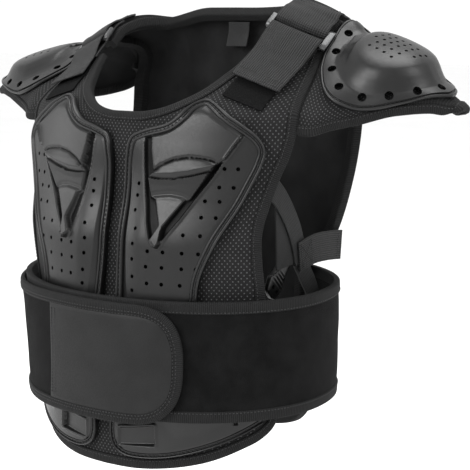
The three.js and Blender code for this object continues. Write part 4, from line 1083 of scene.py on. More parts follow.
def plate_place(edge, first, second, fade_from):
    """Places inside an outline that runs up its inner side, across its top and down its outer side."""
    def chord(u, v):
        return mix(edge(first * v), edge(1 - (1 - second) * v), u[:, None])

    def place(u, v):
        top = edge(mix(first, second, u)) - chord(u, np.ones_like(u))
        fade = np.maximum(0, (v - fade_from) / (1 - fade_from)) ** 2
        spot = chord(u, v) + top * fade[:, None]
        return spot[:, 0], spot[:, 1]

    return place


# The chest plate's relief, as lines of x and z on the right plate
LEFT_RIDGE = [
    (28, -108), (29, -122), (31, -143), (34.9, -168.6), (40.4, -194.1), (45.1, -207.9), (50, -214),
]
RIGHT_RIDGE = [
    (124, -104), (118.1, -112.9), (106.8, -131.7), (95.8, -151.4), (82.3, -172.5), (71.8, -190.9),
    (57.5, -211),
]
V_FIELD = LEFT_RIDGE + [(53.5, -216)] + RIGHT_RIDGE[::-1] + [(110, -84), (40, -90)]
SHIELD = [
    (35.8, -108), (37.5, -128), (41.7, -147.3), (36.3, -152.9), (38, -162), (40.5, -170.9), (45.4, -173.8),
    (49.5, -186), (53.5, -197.1), (47.1, -209), (50, -214), (53.5, -215.5), (56.5, -212), (57.8, -198.1),
    (73.7, -172.9), (78.2, -171.4), (94, -147), (97.5, -141), (106.7, -131.5), (124, -104), (110, -84),
    (40, -90),
]
TIP = [(52.5, -197.5), (58.2, -199), (57.5, -209), (53.5, -216), (48, -213), (46.5, -209)]
TIP_TOP = -197
LENS_TOP = [
    (41.7, -147.3), (48.2, -141.1), (60.7, -135.3), (74.4, -132.8), (86.6, -133.6), (95.1, -135.3),
    (99, -138.4),
]
LENS_FOOT = [(41.7, -148.5), (46.1, -149.1), (59.1, -148.4), (75.5, -145.7), (89.8, -141.3), (99, -138.4)]
BAND_FOOT = [(36.8, -153.5), (48, -154.6), (59.7, -154.2), (80, -150), (95.2, -145)]
LOWER_ARC = [(38.5, -171.2), (44, -169.4), (49.8, -168.4), (59.8, -167.2), (69.7, -168.6), (79, -173)]
FACET_HEIGHTS = ((-197, -174, -169, -152, -142, -100, -84), (2.6, 0.4, 0.5, 2.6, 3.4, 0.6, 0.2))
FIELD_DEPTH = 3.2
SHIELD_HEIGHT = 3.4


def hump(distance, reach):
    """A rounded ridge's height, 1 on its line and near 0 past twice its reach."""
    return np.exp(-(distance / reach) ** 2)


def height_of(line, x):
    line = np.array(line)
    return np.interp(x, line[:, 0], line[:, 1])


def chest_relief(x, z):
    flat = np.stack([x, z], -1)
    in_field = inside_by(flat, V_FIELD)
    in_shield = inside_by(flat, SHIELD)
    ridge = np.minimum(beside_line(flat, LEFT_RIDGE[1:]), beside_line(flat, RIGHT_RIDGE[1:]))
    relief = -FIELD_DEPTH * smooth(-0.1, 2.2, in_field)
    relief += hump(ridge, 1.2)
    facets = np.interp(z, FACET_HEIGHTS[0], FACET_HEIGHTS[1])
    relief += (SHIELD_HEIGHT + facets) * smooth(-1.3, 1.0, in_shield)
    on_shield = smooth(0.2, 1.2, in_shield)
    top, foot, low = height_of(LENS_TOP, x), height_of(LENS_FOOT, x), height_of(BAND_FOOT, x)
    in_lens = (z < top) & (z > foot)
    lens = np.where(in_lens, -1.2 + 2.6 * (top - z) / np.maximum(top - foot, 1), 0)
    in_band = (z <= foot) & (z > low)
    band = np.where(in_band, 1.4 - 3.2 * (foot - z) / np.maximum(foot - low, 1), 0)
    below = (z <= low) & (z > low - 5)
    lip = np.where(below, 0.5 * (1 - (low - z) / 5), 0)
    within = smooth(40, 43, x) * (1 - smooth(95, 99, x))
    relief += (lens * within + band + lip) * on_shield
    groove = hump(beside_line(flat, LENS_TOP), 1.1)
    arc = hump(beside_line(flat, LOWER_ARC), 1.9)
    relief -= (1.3 * groove + 1.2 * arc) * on_shield
    relief += 0.8 * smooth(0, 4, height_of(LOWER_ARC, x) - z) * on_shield * smooth(-1, 1, in_shield)
    in_tip = inside_by(flat, TIP)
    relief += smooth(-0.2, 0.8, in_tip) * np.clip((TIP_TOP - z) / 19, 0, 1) * 1.6
    return relief


# How far down each row of holes is, and where its holes are across
CHEST_HOLES = [
    (0.29, (0.755, 0.84)), (0.375, (0.145, 0.73, 0.82)), (0.43, (0.145,)), (0.44, (0.645, 0.74)),
    (0.5, (0.145,)), (0.515, (0.635, 0.73)), (0.58, (0.175,)), (0.595, (0.53, 0.645)), (0.645, (0.165,)),
    (0.672, (0.28, 0.395, 0.53, 0.64)), (0.715, (0.165,)), (0.743, (0.27, 0.39, 0.53, 0.625)),
    (0.795, (0.17,)), (0.82, (0.28, 0.39, 0.52)), (0.86, (0.17,)),
]


def make_chest_plate():
    spots = plate_place(moved(chest_edge, -CHEST_RIM_WIDTH + 0.3), inner_top, outer_top, 0.4)

    def place(u, v):
        x, run = spots(u, v)
        flat = body_point(x, run)
        edge = smooth(0, 0.035, np.minimum(u, 1 - u)) * smooth(0, 0.03, 1 - v)
        strip = 0.015 + 0.13 * (1 - v) ** 1.8
        bevel = -2.6 * np.clip(1 - u / strip, 0, 1) * (1 - smooth(0.55, 0.85, v))
        return body(x, run, PLATE_HIGH + (chest_relief(x, flat[:, 2]) + 0.3) * edge + bevel)

    plate = walled(laid("chest_plate", 150, 210, place, (PLATE_WIDTH, 200)), PLATE_THICKNESS)
    holes = [(a, down) for down, across in CHEST_HOLES for a in across]
    x, run = np.array(plate_marks(PLATE_WIDTH, PLATE_TOP, PLATE_FOOT, holes)).T
    drilled(plate, body(x, run, np.full(len(x), PLATE_LOW)), body_normal(x, run), VENT_HOLE)
    plate.data.materials.append(None)
    plate.data.materials.append(MATTE_SHADED_PLASTIC)
    # The V field's faces take the less shiny copy: their matte texture, and painted shade for the recess.
    middles = np.array([face.center for face in plate.data.polygons])[:, [0, 2]] / MM
    is_matte_shaded = (inside_by(middles, V_FIELD) > 0.9) & (inside_by(middles, SHIELD) < -0.4)
    is_matte_shaded &= inside_by(middles, TIP) < 0
    plate.data.polygons.foreach_set("material_index", is_matte_shaded.astype(int))
    return plate


dressed_pair(make_chest_plate(), "chest_plate", "plastic", crease=50)


def rim_section(width, height):
    """Two rounded ridges with a groove between them for the stitching."""
    top = RIM_LOW + height
    deep = top - 2.1
    rows = [
        (0, RIM_LOW), (0.03, top - 2.6), (0.1, top - 0.9), (0.2, top - 0.1), (0.31, top - 0.3),
        (0.38, top - 1.2), (0.42, deep), (0.6, deep), (0.64, top - 1.4), (0.72, top - 0.6),
        (0.82, top - 0.5), (0.92, top - 1.3), (0.98, top - 2.8), (1.0, RIM_LOW),
    ]
    return np.array([(a * width, b) for a, b in rows])


def rim_along(name, edge, count, width, height, inward):
    shares = np.linspace(0, 1, count)
    place = on_edge(edge, inward)
    rim = ready(rolled(name, shares, rim_section(width, height), place))
    stitched(rim, place, shares, width * 0.51, RIM_LOW + height - 2.0, pitch=4.2, size=0.55)
    return closed(rim)


chest_rim = rim_along("chest_rim", chest_edge, 260, CHEST_RIM_WIDTH, CHEST_RIM_HEIGHT, -1)
dressed_pair(chest_rim, "chest_rim", "plastic", crease=60)

# Belly plates
BELLY_OUTLINE = [
    (0.0, 0.0), (0.0, 0.52), (0.03, 0.8), (0.11, 0.97), (0.25, 1.0), (0.42, 0.93), (0.6, 0.76), (0.76, 0.53),
    (0.86, 0.32), (0.93, 0.13),
]
belly_marks = plate_marks(BELLY_WIDTH, BELLY_TOP, BELLY_DROP, BELLY_OUTLINE)
belly_edge = trace(belly_marks)
inner_foot = share_near(belly_edge, belly_marks[2])
outer_foot = share_near(belly_edge, belly_marks[8])
VENT = [(20, -389), (53.6, -383.5), (54.6, -402), (20, -404.5)]
BULGE = [(66, -378), (74, -388), (92, -385), (112, -372), (112, -360), (66, -366)]
NOTCH = [(118.2, -380), (118.2, -372.5), (120.4, -372.5), (120.4, -380)]


def belly_relief(x, z):
    flat = np.stack([x, z], -1)
    vent = smooth(-0.6, 0.9, inside_by(flat, VENT))
    slope = np.clip((54.6 - x) / 34, 0, 1)
    relief = -vent * (0.8 + 2.9 * (1 - slope))
    relief += 1.3 * hump(inside_by(flat, VENT) + 1.6, 1.3)
    relief += 1.8 * smooth(-6, 12, inside_by(flat, BULGE))
    return relief - 2.2 * smooth(-0.4, 0.6, inside_by(flat, NOTCH))


def make_belly_plate():
    spots = plate_place(moved(belly_edge, BELLY_RIM_WIDTH - 0.3), inner_foot, outer_foot, 0.2)

    def place(u, v):
        x, run = spots(u, v)
        edge = smooth(0, 0.03, np.minimum(u, 1 - u)) * smooth(0, 0.06, 1 - v)
        return body(x, run, PLATE_HIGH + (belly_relief(x, body_point(x, run)[:, 2]) + 0.3) * edge)

    return closed(walled(laid("belly_plate", 150, 60, place, (BELLY_WIDTH, 34)), PLATE_THICKNESS, 1.0))


dressed_pair(make_belly_plate(), "belly_plate", "plastic", crease=50)
belly_rim = rim_along("belly_rim", belly_edge, 150, BELLY_RIM_WIDTH, BELLY_RIM_HEIGHT, 1)
dressed_pair(belly_rim, "belly_rim", "plastic", crease=60)

# Shoulder wings: reach, front y and z, crown y and z, back y and z, roundness, in shares
WING_ROWS = [
    (0, -0.7, -0.7, 0.0, -0.17, 0.32, -0.31, 1.35),
    (0.2, -0.6, -0.645, -0.03, -0.225, 0.3, -0.44, 1.55),
    (0.38, -0.51, -0.61, -0.06, -0.27, 0.26, -0.53, 1.75),
    (0.65, -0.41, -0.55, -0.09, -0.355, 0.17, -0.575, 1.9),
    (0.86, -0.3, -0.535, -0.1, -0.46, 0.05, -0.55, 2.0),
    (1.0, -0.2, -0.56, -0.11, -0.53, -0.03, -0.58, 2.0),
]
wing_at = smooth_table([row[0] for row in WING_ROWS], [row[1:] for row in WING_ROWS])
wing_front_start = share_near(front_side_edge, on_front(SHOULDER_HALF_WIDTH + 2, -HEM_DROP * 0.24))
wing_back_start = share_near(back_side_edge, on_back(BACK_HALF_WIDTH, -BACK_HEM_DROP * 0.11))
wing_ridge = share_near(back_side_edge, (SHOULDER_HALF_WIDTH, 0))
SEAM_GAP = 1.6
front_seam = moved(front_side_edge, -SEAM_GAP)
back_seam = moved(back_side_edge, SEAM_GAP)
front_length = np.linalg.norm(on_body(front_seam(wing_front_start)) - on_body(front_seam(1.0)))
ridge_length = np.linalg.norm(on_body(back_seam(1.0)) - on_body(back_seam(wing_ridge)))
SEAM_SPLIT = -ridge_length / (front_length + ridge_length)


def seam_point(v):
    """The wing's seam, from the front armhole (-1) over the ridge (0) to the back armhole (1)."""
    front = on_body(front_seam(mix(wing_front_start, 1, (v + 1) / (SEAM_SPLIT + 1))))
    ridge = on_body(back_seam(mix(1, wing_ridge, (v - SEAM_SPLIT) / -SEAM_SPLIT)))
    back = on_body(back_seam(mix(wing_ridge, wing_back_start, v)))
    near = np.where((v < 0)[:, None], ridge, back)
    return np.where((v < SEAM_SPLIT)[:, None], front, near)


def wing_point(u, v):
    half = SHOULDER_HALF_WIDTH
    front_y, front_z, crown_y, crown_z, back_y, back_z, full = np.moveaxis(wing_at(u), -1, 0)
    turn = np.abs(v) * math.pi / 2
    edge_y, edge_z = np.where(v < 0, front_y, back_y), np.where(v < 0, front_z, back_z)
    y = mix(crown_y, edge_y, np.abs(np.sin(turn)) ** (2 / full)) * half
    z = mix(edge_z, crown_z, np.abs(np.cos(turn)) ** (2 / full)) * half
    free = np.stack([half + u * WING_REACH, y, z], -1)
    seam = seam_point(v)
    seam[:, 0] += u * WING_REACH
    return mix(seam, free, smooth(0, 0.24, u)[:, None])


WING_PROBE = 0.01
ARM_AXIS = (-25, -95)


def wing_normal(u, v):
    u = np.clip(u, WING_PROBE, 1 - WING_PROBE)
    v = np.clip(v, -1 + WING_PROBE, 1 - WING_PROBE)
    along_u = wing_point(u + WING_PROBE, v) - wing_point(u - WING_PROBE, v)
    along_v = wing_point(u, v + WING_PROBE) - wing_point(u, v - WING_PROBE)
    return unit(np.cross(along_u, along_v))


def wing(u, v, lift):
    u, v, lift = matched(u, v, lift)
    return wing_point(u, v) + wing_normal(u, v) * lift[:, None]


def wing_place(u, v):
    across = 2 * v - 1
    edge = smooth(0, 0.06, np.minimum(1 - u, np.minimum(v, 1 - v)))
    soft = ripples(wing_point(u, across), 0.5, 16, 2.0)
    return wing(u, across, (0.4 + soft) * edge)


wings = walled(laid("wing", 64, 90, wing_place, (WING_REACH, 230)), WING_THICKNESS)
wings.data.materials.append(None)
wings.data.materials.append(FINISHES["cloth"])
for face in wings.data.polygons:
    toward = Vector((0, ARM_AXIS[0], ARM_AXIS[1])) * MM - face.center
    face.material_index = int(face.normal.y * toward.y + face.normal.z * toward.z > 0)
dressed_pair(wings, "shoulder_wing", "mesh", padding=0.4)

FRONT_PART = 0.42
TIP_PART = 0.58
CORNER_PROBE = 0.02


def wing_edge(share):
    u = np.interp(share, [0, FRONT_PART, TIP_PART, 1], [0, 1, 1, 0])
    v = np.interp(share, [0, FRONT_PART, TIP_PART, 1], [-1, -1, 1, 1])
    return u, v


def wing_tape_place(share, a, b):
    u, v = wing_edge(share)
    ahead = wing_point(*wing_edge(np.minimum(share + CORNER_PROBE, 1)))
    along = unit(ahead - wing_point(*wing_edge(np.maximum(share - CORNER_PROBE, 0))))
    out = wing_normal(u, v)
    away = unit(np.cross(along, out))
    corner = np.minimum(np.abs(share - FRONT_PART), np.abs(share - TIP_PART))
    outward = (WING_TAPE_WIDTH - a) * (1 - 0.45 * hump(corner, 0.014))
    return wing_point(u, v) + away * outward[:, None] + out * b[:, None]


tape_shares = np.linspace(0, 1, 170)
wing_section = tape_section(WING_TAPE_WIDTH, WING_THICKNESS)
wing_tape = ready(rolled("wing_tape", tape_shares, wing_section, wing_tape_place))
stitched(wing_tape, wing_tape_place, tape_shares, WING_TAPE_WIDTH - STITCH_INSET, TAPE_PROUD)
dressed_pair(closed(wing_tape), "wing_binding", "tape")

# Cups: how high the profile stands at shares of the reach, and the outline as u and v on the wing
cup_profile = smooth_table(
    [0, 0.2, 0.4, 0.5, 0.58, 0.66, 0.74, 0.8, 1.0],
    [[1.0], [0.99], [0.94], [0.84], [0.6], [0.3], [0.08], [0.0], [0.0]],
)
CUP_FLANGE = 0.93
CUP_MIDDLE = (0.44, -0.15)
CUP_STRETCH = 1.03
CUP_OUTLINE = [
    (0.94, -0.15), (0.94, -0.36), (0.9, -0.62), (0.82, -0.83), (0.7, -0.95), (0.56, -0.985), (0.42, -0.95),
    (0.28, -0.86), (0.16, -0.74), (0.07, -0.6), (0.015, -0.46), (0.0, -0.32), (0.015, -0.18), (0.05, -0.02),
    (0.11, 0.14), (0.2, 0.34), (0.32, 0.53), (0.46, 0.65), (0.6, 0.66), (0.74, 0.57), (0.85, 0.38),
    (0.92, 0.12),
]
outline_at = smooth_table(np.linspace(0, 2 * math.pi, len(CUP_OUTLINE) + 1), CUP_OUTLINE + CUP_OUTLINE[:1])


def cup_spot(turn, r):
    """A place on the wing, from the cup's middle (r 0) to the outside of its rim (r 1)."""
    spot = outline_at(np.mod(turn, 2 * math.pi))
    return CUP_STRETCH * mix(CUP_MIDDLE[0], spot[..., 0], r), mix(CUP_MIDDLE[1], spot[..., 1], r)


FRONT_TURN = 0.25 * 2 * math.pi
WAIST_TURN = 0.37 * 2 * math.pi


def cup_point(turn, r, lift):
    """The crown is flattened on top and steep toward the front."""
    front = hump(turn - FRONT_TURN, 0.9)
    waist = hump(turn - WAIST_TURN, 0.3)
    steep = r * (1 + 0.02 * front + 0.05 * waist)
    rise = cup_profile(steep)[:, 0]
    return wing(*cup_spot(turn, r), CUP_SEAT + CUP_HEIGHT * rise + lift)


# Holes: in a ring through the flange, and at places u and v on the crown
RIM_HOLE_REACH = 0.82
RIM_HOLES = 14
FIRST_RIM_HOLE = 0.35
CROWN_HOLE = 3.2
CROWN_HOLES = [
    (0.315, -0.2), (0.335, -0.145), (0.355, -0.09), (0.415, -0.095), (0.475, -0.105), (0.535, -0.11),
    (0.595, -0.125), (0.66, -0.16), (0.335, -0.335), (0.36, -0.275), (0.38, -0.21), (0.395, -0.15),
    (0.46, -0.165), (0.52, -0.18), (0.58, -0.195), (0.645, -0.23), (0.395, -0.355), (0.42, -0.29),
    (0.44, -0.225), (0.5, -0.24), (0.565, -0.265), (0.63, -0.31), (0.46, -0.385), (0.485, -0.32),
    (0.55, -0.35), (0.525, -0.425),
]


def make_cup():
    def place(u, v):
        r = CUP_FLANGE * (1 - v) ** 0.9
        return cup_point(2 * math.pi * u, r, CUP_THICKNESS)

    cup = merged(laid("cup", 132, 64, place, (330, 60)), 0.05)
    walled(cup, CUP_THICKNESS)
    turns = np.linspace(0, 2 * math.pi, 721)
    ring = wing(*cup_spot(turns, RIM_HOLE_REACH), 0)
    far = far_along(ring)
    rim_turns = np.interp((np.arange(RIM_HOLES) + FIRST_RIM_HOLE) * far[-1] / RIM_HOLES, far, turns)
    u, v = cup_spot(rim_turns, RIM_HOLE_REACH)
    places, ways, sizes = [wing(u, v, CUP_SEAT)], [wing_normal(u, v)], [np.full(RIM_HOLES, CUP_HOLE)]
    u, v = np.array(CROWN_HOLES).T * np.array([[CUP_STRETCH], [1]])
    places.append(wing(u, v, CUP_SEAT + CUP_HEIGHT))
    ways.append(wing_normal(u, v))
    sizes.append(np.full(len(u), CROWN_HOLE))
    return drilled(cup, np.vstack(places), np.vstack(ways), np.concatenate(sizes), depth=16, folded=True)


dressed_pair(make_cup(), "shoulder_cup", "plastic", crease=45)


def cup_rim_place(share, a, b):
    turn = share * 2 * math.pi
    spot = cup_spot(turn, CUP_FLANGE)
    outside = wing(*cup_spot(turn, 1.0), 0)
    base = wing(*spot, 0)
    away = unit(outside - base)
    return base + away * (0.5 * GAP + a)[:, None] + wing_normal(*spot) * b[:, None]


CUP_RIM_SECTION = rounded([
    (-1.2, CUP_SEAT + 0.4), (-1.2, CUP_RIM_HEIGHT - 0.9), (0.6, CUP_RIM_HEIGHT - 1.5), (1.4, CUP_RIM_HEIGHT),
    (CUP_RIM_WIDTH - 0.4, CUP_RIM_HEIGHT), (CUP_RIM_WIDTH + 0.4, CUP_SEAT + 0.4),
], [0.3, 0.8, 0.6, 1.0, 1.4, 0.3], 3)
rim_shares = np.linspace(0, 1, 181)
cup_rim = ready(rolled("cup_rim", rim_shares, CUP_RIM_SECTION, cup_rim_place))
stitched(cup_rim, cup_rim_place, rim_shares, 0.7, CUP_RIM_HEIGHT - 1.3, pitch=4.0, size=0.45)
dressed_pair(closed(cup_rim), "cup_rim", "plastic", crease=60)

# Straps over the shoulders
STRAP_START = 100
strap_centre = trace([
    on_front(SLIDER_X * 0.848, -STRAP_START), on_front(SLIDER_X * 0.904, -STRAP_START * 0.68),
    (SLIDER_X, SLIDER_RUN), (SLIDER_X * 1.016, SLIDER_RUN / 2), (SLIDER_X * 1.016, 0),
    (SLIDER_X * 1.016, COLLAR_DROP * 1.18),
])
strap_length = far_along(on_body(strap_centre(np.linspace(0, 1, 200))))[-1]
slider_share = share_near(strap_centre, (SLIDER_X, SLIDER_RUN))


def strap_place(along, across, lift):
    along, across, lift = matched(along, across, lift)
    x, run = beside(strap_centre, slider_share + along / strap_length, -across)
    return body(x, run, lift)


UNDER_WEB = TAPE_PROUD + 2.4
BAR_GAP = 0.9
BAR_LOW = UNDER_WEB + WEB_THICKNESS + BAR_GAP
BAR_HIGH = BAR_LOW + SLIDER_BAR
OVER_WEB = BAR_HIGH + BAR_GAP
STRAP_HALF = STRAP_WIDTH / 2
BAR_PLACES = (-5.5, 6.5)
BAR_HALF = SLIDER_BAR / 2
UNDER_LENGTH = 26
REST_LIFT = max(SEAT + LOOP_TAPE_THICKNESS, UNDER_WEB + WEB_THICKNESS) + GAP


def make_strap(name, way, bar, length):
    """Webbing that comes up to a bar on top, goes round it and ends beneath."""
    half = WEB_THICKNESS / 2
    rest, over, under = REST_LIFT + half, OVER_WEB + half, UNDER_WEB + half
    middle = (OVER_WEB + UNDER_WEB + WEB_THICKNESS) / 2
    marks = [
        (length, rest), (length - 14, rest), (24, rest), (15, mix(REST_LIFT, OVER_WEB, 0.5) + half),
        (4, over), (-1.5, over - 0.3), (-BAR_HALF - BAR_GAP - half, middle), (-1.5, under + 0.3),
        (5, under), (UNDER_LENGTH, under),
    ]
    line = trace([(bar + way * reach, height) for reach, height in marks])
    stretch = length + UNDER_LENGTH + 12

    def place(u, v):
        along, height = line(v).T
        slack = 0.5 * np.sin(math.pi * u) * smooth(10, 30, way * (along - bar))
        return strap_place(along, (2 * u - 1) * STRAP_HALF, height + slack)

    strap = laid(name, 20, 110, place, (STRAP_WIDTH, stretch))
    walled(strap, WEB_THICKNESS - 0.2, 0.0)
    ready(closed(eased(strap, 0.5)))
    across = np.linspace(-STRAP_HALF + 2.5, STRAP_HALF - 2.5, 30)
    for back in (3.0, 9.0):
        at = bar + way * (length - back)
        row = strap_place(at, across, REST_LIFT + WEB_THICKNESS + 0.2)
        sewn(strap, row, strap_place(at, across, REST_LIFT + WEB_THICKNESS + 1.2) - row, pitch=3.0)
    return strap


dressed_pair(make_strap("front_strap", -1, BAR_PLACES[0], TONGUE_LENGTH), "front_strap", "webbing")
dressed_pair(make_strap("back_strap", 1, BAR_PLACES[1], BACK_STRAP_LENGTH), "back_strap", "webbing")


def make_slider():
    """Two round-edged bars between two bevelled ends."""
    parts = []
    half = SLIDER_LENGTH / 2

    def place(share, a, b):
        return strap_place(a, share, b)

    for bar in BAR_PLACES:
        near, far = bar - BAR_HALF, bar + BAR_HALF
        section = rounded([(near, BAR_LOW), (near, BAR_HIGH), (far, BAR_HIGH), (far, BAR_LOW)], 1.6, 4)
        parts.append(closed(rolled("bar", np.linspace(-half + 1, half - 1, 24), section, place)))
    middle, reach = sum(BAR_PLACES) / 2, SLIDER_DEPTH / 2
    section = rounded([
        (middle - reach, BAR_LOW - 0.4), (middle - reach, BAR_HIGH - 1), (middle - reach + 2.5, BAR_HIGH + 1),
        (middle + reach - 2.5, BAR_HIGH + 1), (middle + reach, BAR_HIGH - 1), (middle + reach, BAR_LOW - 0.4),
    ], 1.2, 3)
    for side in (-1, 1):
        ends = np.array([STRAP_HALF + GAP, half - 1.0, half]) * side
        parts.append(eased(closed(rolled("end", ends, section, place)), 0.7, 0.9))
    only(parts[0])
    for part in parts[1:]:
        part.select_set(True)
    bpy.ops.object.join()
    return parts[0]


dressed_pair(make_slider(), "slider", "bright", crease=35)


def loop_place(u, v):
    nap = 0.25 * np.sin(u * 61) * np.sin(v * 53)
    edge = smooth(0, 0.05, np.minimum(np.minimum(u, 1 - u), np.minimum(v, 1 - v)))
    along = -LOOP_TAPE_START - LOOP_TAPE_LENGTH * (1 - v)
    return strap_place(along, (2 * u - 1) * (STRAP_HALF - 4), 1.1 + LOOP_TAPE_THICKNESS + (nap + 0.2) * edge)


loop_tape = walled(laid("loop_tape", 44, 40, loop_place, (42, LOOP_TAPE_LENGTH)), LOOP_TAPE_THICKNESS)
dressed_pair(loop_tape, "loop_tape", "hook")

# Belt: its room beyond the body's oval to the left, right, front and back, by how far down
OVAL_MIDDLE = -FRONT_REACH * 0.944 + FRONT_OVAL_DEPTH
belt_rows = smooth_table([0, 0.7, 1], BELT_ROOM * np.array([
    (0.57, 0.095, 0.19, 0.286), (0.19, 0.095, 0.476, 0.095), (0, 0, 0.762, 0),
]))
BELT_HEIGHT = BELT_BOTTOM - BELT_TOP
BELT_HALF_WIDTH = CHEST_HALF_WIDTH * 0.937
BACK_BELT_DEPTH = BACK_REACH * 0.87 - OVAL_MIDDLE
SQUARENESS = 2.25


def belt_point(angle, down, lift):
    angle, down, lift = matched(angle, down, lift)
    left, right, front, back = np.moveaxis(belt_rows(down), -1, 0)
    sine, cosine = np.sin(angle), np.cos(angle)
    wide = BELT_HALF_WIDTH + lift + np.where(sine > 0, right, left)
    ahead = FRONT_OVAL_DEPTH + BELT_ROOM + lift + front
    behind = BACK_BELT_DEPTH + lift + back
    is_front = cosine > 0
    power = np.where(is_front, 1, 2 / SQUARENESS)
    x = np.sign(sine) * np.abs(sine) ** power * wide
    y = OVAL_MIDDLE - np.sign(cosine) * np.abs(cosine) ** power * np.where(is_front, ahead, behind)
    return np.stack([x, y, -BELT_TOP - down * BELT_HEIGHT], -1)


BELT_GIRTH = 900
TAPE_SHARE = (BELT_TAPE_WIDTH - 1) / BELT_HEIGHT


def belt_place(u, v):
    angle = 2 * math.pi * u
    down = mix(1 - TAPE_SHARE, TAPE_SHARE, v)
    swell = smooth(0, 0.14, v) * smooth(0, 0.14, 1 - v)
    folds = 0.5 * np.sin(14 * angle + 3 * np.sin(5 * v)) * np.sin(math.pi * v)
    return belt_point(angle, down, BELT_THICKNESS + 0.5 * swell + 0.6 * folds - 0.3)


belt = merged(laid("belt", 260, 34, belt_place, (BELT_GIRTH, BELT_HEIGHT)))
dressed(walled(belt, BELT_THICKNESS), "belt", "plush", padding=0.5)


def belt_tape(name, from_down, to_down, sewn_down):
    middle = BELT_THICKNESS + BELT_TAPE_PROUD
    section = rounded([
        (from_down, -BELT_TAPE_PROUD), (from_down, middle), (mix(from_down, to_down, 0.5), middle + 0.2),
        (to_down, middle), (to_down, -BELT_TAPE_PROUD),
    ], [1.8, 1.8, 2, 1.2, 1.2], 3)
    shares = np.linspace(0, 1, 261)

    def place(share, a, b):
        return belt_point(2 * math.pi * share, a / BELT_HEIGHT, b)

    tape = ready(rolled(name, shares, section, place))
    return closed(stitched(tape, place, shares, sewn_down, middle))


belt_top = belt_tape("belt_top", 0, BELT_TAPE_WIDTH, BELT_TAPE_WIDTH - STITCH_INSET)
dressed(belt_top, "belt_binding_top", "tape")
foot_start = BELT_HEIGHT - BELT_TAPE_WIDTH
belt_foot = belt_tape("belt_foot", foot_start, BELT_HEIGHT, foot_start + STITCH_INSET)
dressed(belt_foot, "belt_binding_bottom", "tape")

# Flap: the belt's outer end, as angle and down
FLAP_LIFT = BELT_THICKNESS + BELT_TAPE_PROUD + SEAT + TOUCH
PER_DEGREE = math.pi / 180
FLAP_RADIUS = 0.42
FRONT_ARC = (FRONT_OVAL_DEPTH + BELT_ROOM + FLAP_LIFT + BELT_HALF_WIDTH) / 2
STRAIGHT = 0.36
FLAP_ROUND = FLAP_RADIUS * BELT_HEIGHT / FRONT_ARC / PER_DEGREE


def flap_outline(share):
    share = np.asarray(share, float)
    turn = mix(-math.pi / 2, math.pi / 2, np.clip((share - STRAIGHT) / (1 - 2 * STRAIGHT), 0, 1))
    out = np.abs(np.cos(turn)) ** 0.75
    up = np.sign(np.sin(turn)) * np.abs(np.sin(turn)) ** 0.75
    angle, down = FLAP_END - FLAP_ROUND + FLAP_ROUND * out, 0.53 + 0.5 * up
    on_top, on_foot = share < STRAIGHT, share > 1 - STRAIGHT
    along = np.where(on_top, share, 1 - share) / STRAIGHT
    angle = np.where(on_top | on_foot, mix(FLAP_START, FLAP_END - FLAP_ROUND, along), angle)
    down = np.where(on_top, mix(0.02, 0.03, along), np.where(on_foot, mix(1.02, 1.03, along), down))
    return angle, down


def on_flap(angle, down, lift):
    place = belt_point(angle * PER_DEGREE, down, FLAP_LIFT + lift)
    place[..., 2] -= FLAP_DROP * smooth(10, 60, -np.asarray(angle))
    return place


def flap_frame(share):
    angle, down = flap_outline(share)
    ahead = on_flap(*flap_outline(np.minimum(share + 0.005, 1)), 0)
    along = unit(ahead - on_flap(*flap_outline(np.maximum(share - 0.005, 0)), 0))
    step = on_flap(angle + 0.5, down, 0) - on_flap(angle - 0.5, down, 0)
    out = unit(np.cross(step, (0, 0, 1)))
    return angle, down, step, on_flap(angle, down, 0), out, unit(np.cross(along, out))


def flap_inside(share):
    angle, down, step, _, _, inward = flap_frame(share)
    reach = BELT_TAPE_WIDTH - 1
    return angle + reach * dot(inward, step) / dot(step, step), down - reach * inward[:, 2] / BELT_HEIGHT


FLAP_TIP = 0.49


def flap_place(u, v):
    top = np.array(flap_inside(u * FLAP_TIP))
    bottom = np.array(flap_inside(1 - u * FLAP_TIP))
    angle, down = mix(bottom, top, v)
    swell = smooth(0, 0.2, v) * smooth(0, 0.2, 1 - v) * smooth(0, 0.05, 1 - u)
    folds = 0.5 * np.sin(angle / 4 + 2 * np.sin(4 * v)) * smooth(24, 40, -angle)
    return on_flap(angle, down, FLAP_THICKNESS + 0.5 * swell + folds * swell - 0.4)


flap = walled(laid("flap", 180, 30, flap_place, (370, BELT_HEIGHT)), FLAP_THICKNESS - 0.6)
dressed(closed(flap), "belt_flap", "plush", padding=0.5)

FLAP_SECTION = rounded([
    (0, 0), (0, FLAP_THICKNESS - 0.8), (2, FLAP_THICKNESS + 0.6),
    (BELT_TAPE_WIDTH * 0.6, FLAP_THICKNESS + 0.8), (BELT_TAPE_WIDTH, FLAP_THICKNESS + 0.4),
    (BELT_TAPE_WIDTH, 0),
], [1.5, 1.5, 1.5, 2, 0.6, 0.6], 3)


def flap_tape_place(share, a, b):
    _, _, _, point, out, inward = flap_frame(share)
    return point + inward * a[:, None] + out * b[:, None]


flap_shares = np.linspace(0, 1, 301)
flap_tape = ready(rolled("flap_tape", flap_shares, FLAP_SECTION, flap_tape_place))
for inset in (STITCH_INSET, 4.6):
    stitched(flap_tape, flap_tape_place, flap_shares, BELT_TAPE_WIDTH - inset, FLAP_THICKNESS + 0.6)
dressed(closed(flap_tape), "flap_binding", "tape")

PATCH_START = -19
PATCH_SHARE = STRAIGHT * (PATCH_START - FLAP_START) / (FLAP_END - FLAP_ROUND - FLAP_START)


